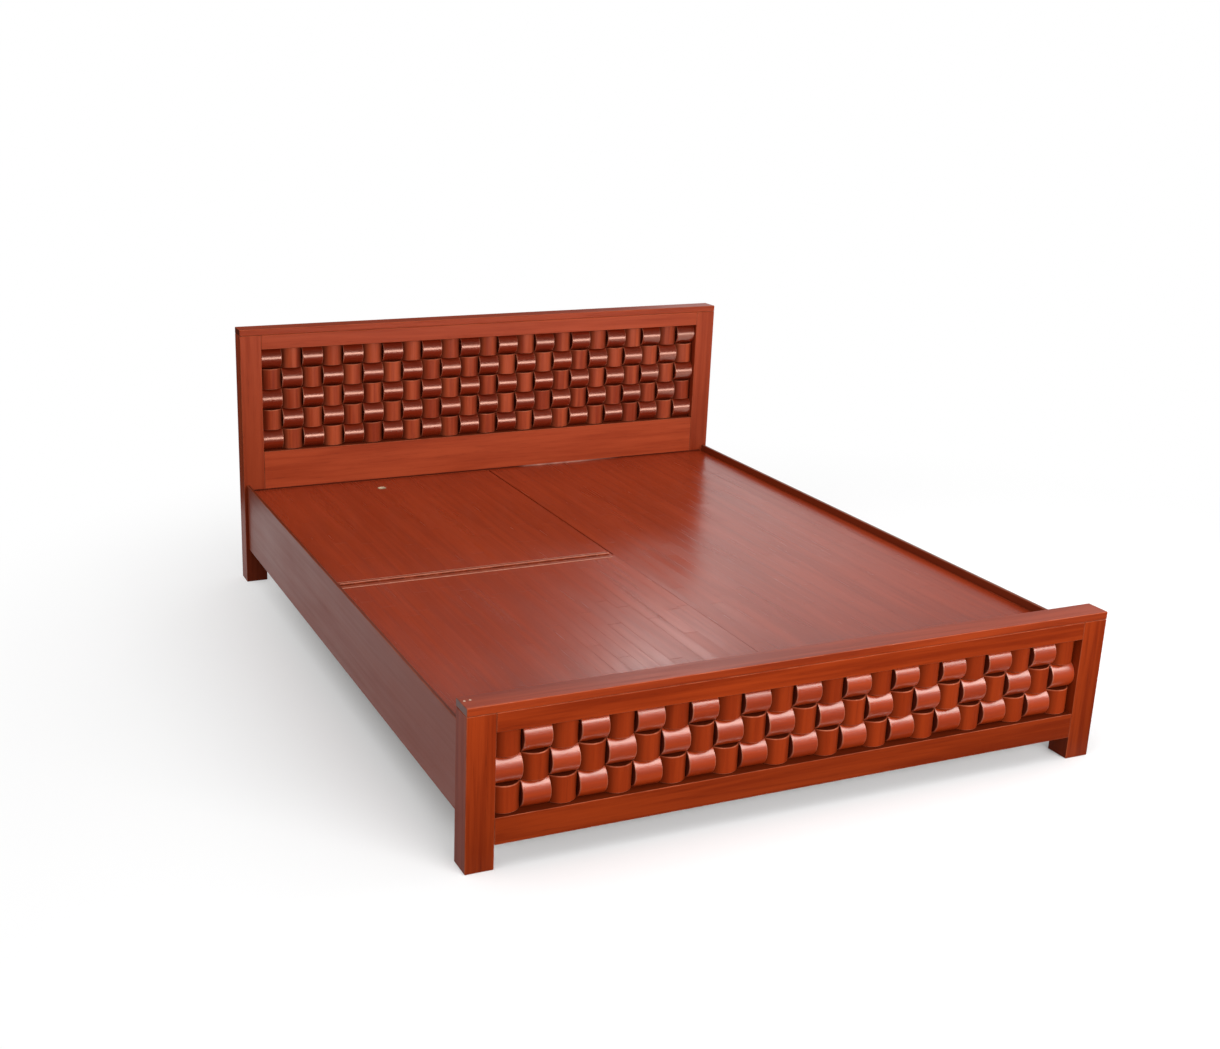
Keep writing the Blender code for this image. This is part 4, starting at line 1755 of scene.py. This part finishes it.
    def dark_screens(self) -> None:
        """Dark cloths before, over and at the ends of the bed, for a narrow shine on the blocks."""
        left, right, front, near, top = -12.0, 14.0, -9.5, -1.2, 9.0
        over, behind, far, low = 5.0, 2.0, 6.0, 0.004
        corners = [(left, front, low), (right, front, low), (right, front, top), (left, front, top)]
        corners += [(right, over, top), (left, over, top), (left, near, low), (right, near, low)]
        corners += [(left, behind, low), (0.0, behind, low), (0.0, far, low), (left, far, low)]
        faces = [[0, 1, 2, 3], [3, 2, 4, 5], [0, 1, 7, 6], [8, 9, 10, 11]]
        nodes = self.screen("dark_screens", corners, faces)
        cloth = nodes.add("ShaderNodeEmission")
        nodes.feed(cloth.inputs["Color"], self.cloth)
        nodes.feed(nodes.add("ShaderNodeOutputMaterial").inputs["Surface"], cloth.outputs[0])

    def graded_screen(self) -> None:
        """A screen far behind: dark on the left, white past a leaning edge, then falling off.

        It gives the deck its shine on the right, where a room's window would.
        """
        reach, far, high_right, high_left = 9.0, 6.0, 4.27, 3.4
        lean, edge, fall_off, white, dark = 0.0921, (3.50, 3.58), (4.2, 7.4, 1.0, 0.28), 1.03, 0.05
        corners = [(-reach, far, 0.0), (reach, far, 0.0)]
        corners += [(reach, far, high_right), (-reach, far, high_left)]
        nodes = self.screen("graded_screen", corners, [[0, 1, 2, 3]])
        x, _, z = nodes.parts(nodes.add("ShaderNodeTexCoord").outputs["Object"])
        leaning = nodes.plus(x, nodes.times(z, lean))
        lit = nodes.times(nodes.ramp(leaning, *edge), nodes.ramp(x, *fall_off))
        glow = nodes.add("ShaderNodeEmission")
        nodes.feed(glow.inputs["Strength"], nodes.plus(nodes.times(lit, white), dark))
        nodes.feed(nodes.add("ShaderNodeOutputMaterial").inputs["Surface"], glow.outputs[0])

    def world(self) -> None:
        """A surround that is white to look at and in a gloss, and softer as light."""
        world = bpy.data.worlds.new("studio")
        world.use_nodes = True
        nodes = Nodes(world.node_tree)
        shown = self.seen_rays(nodes)
        background = world.node_tree.nodes["Background"]
        nodes.feed(background.inputs["Color"], (1.0, 1.0, 1.0))
        strength = nodes.plus(nodes.times(shown, 1.0 - self.surround), self.surround)
        nodes.feed(background.inputs["Strength"], strength)
        bpy.context.scene.world = world

    @staticmethod
    def panel(lamp: Lamp) -> None:
        """Sets up a soft rectangular lamp that isn't seen itself.

        Args:
            lamp: where it stands, and what it gives.
        """
        data = bpy.data.lights.new(lamp.name, "AREA")
        data.shape = "RECTANGLE"
        data.size, data.size_y = lamp.size
        data.energy = lamp.power
        obj = bpy.data.objects.new(lamp.name, data)
        obj.location = lamp.place
        back = Vector(lamp.place) - Vector(lamp.aim)
        obj.rotation_euler = back.to_track_quat("Z", "Y").to_euler()
        obj.visible_camera = False
        obj.visible_diffuse = lamp.rays is not Rays.GLOSS
        obj.visible_glossy = lamp.rays is not Rays.LIGHT
        bpy.context.scene.collection.objects.link(obj)

    @staticmethod
    def keep_to(lamp: str, pieces: list[bpy.types.Object]) -> None:
        """Flags a lamp off everything but some pieces.

        Args:
            lamp: the lamp's name.
            pieces: the pieces that it still reaches.
        """
        lit = bpy.data.collections.new(lamp + "_lit")
        for piece in pieces:
            lit.objects.link(piece)
        bpy.data.objects[lamp].light_linking.receiver_collection = lit

    def sun(self) -> None:
        """A wide, soft light from above."""
        data = bpy.data.lights.new("top_light", "SUN")
        data.energy = self.sun_power
        data.angle = math.radians(self.sun_width)
        obj = bpy.data.objects.new("top_light", data)
        obj.rotation_euler = Vector(self.sun_from).to_track_quat("Z", "Y").to_euler()
        bpy.context.scene.collection.objects.link(obj)


def main() -> None:
    """Builds the studio and every sub-assembly, and writes how large the result is."""
    logging.basicConfig(level=logging.INFO, format="%(name)s: %(message)s")
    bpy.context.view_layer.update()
    luck = np.random.default_rng(SEED)
    studio = Studio()
    studio.build()
    shop = Workshop()
    pieces = EndFrame("headboard", 5, True).build(shop, [shop.head_wood_painted_sheen], shop.head_weave, luck)
    studio.keep_to("head_strip", pieces)
    spots = ((-0.940, -1.095), (-0.925, -1.094))
    footboard = EndFrame("footboard", 3, False, spots=spots, weave=Weave(side_painted_shade=0.5))
    pieces = footboard.build(shop, [shop.frame_wood, shop.cap_wood], shop.foot_weave, luck)
    studio.keep_to("foot_strip", pieces)
    BedBox().build(shop, luck)
    PianoHinge().build(shop)
    StorageInside().build(shop)


if __name__ == "__main__":
    main()
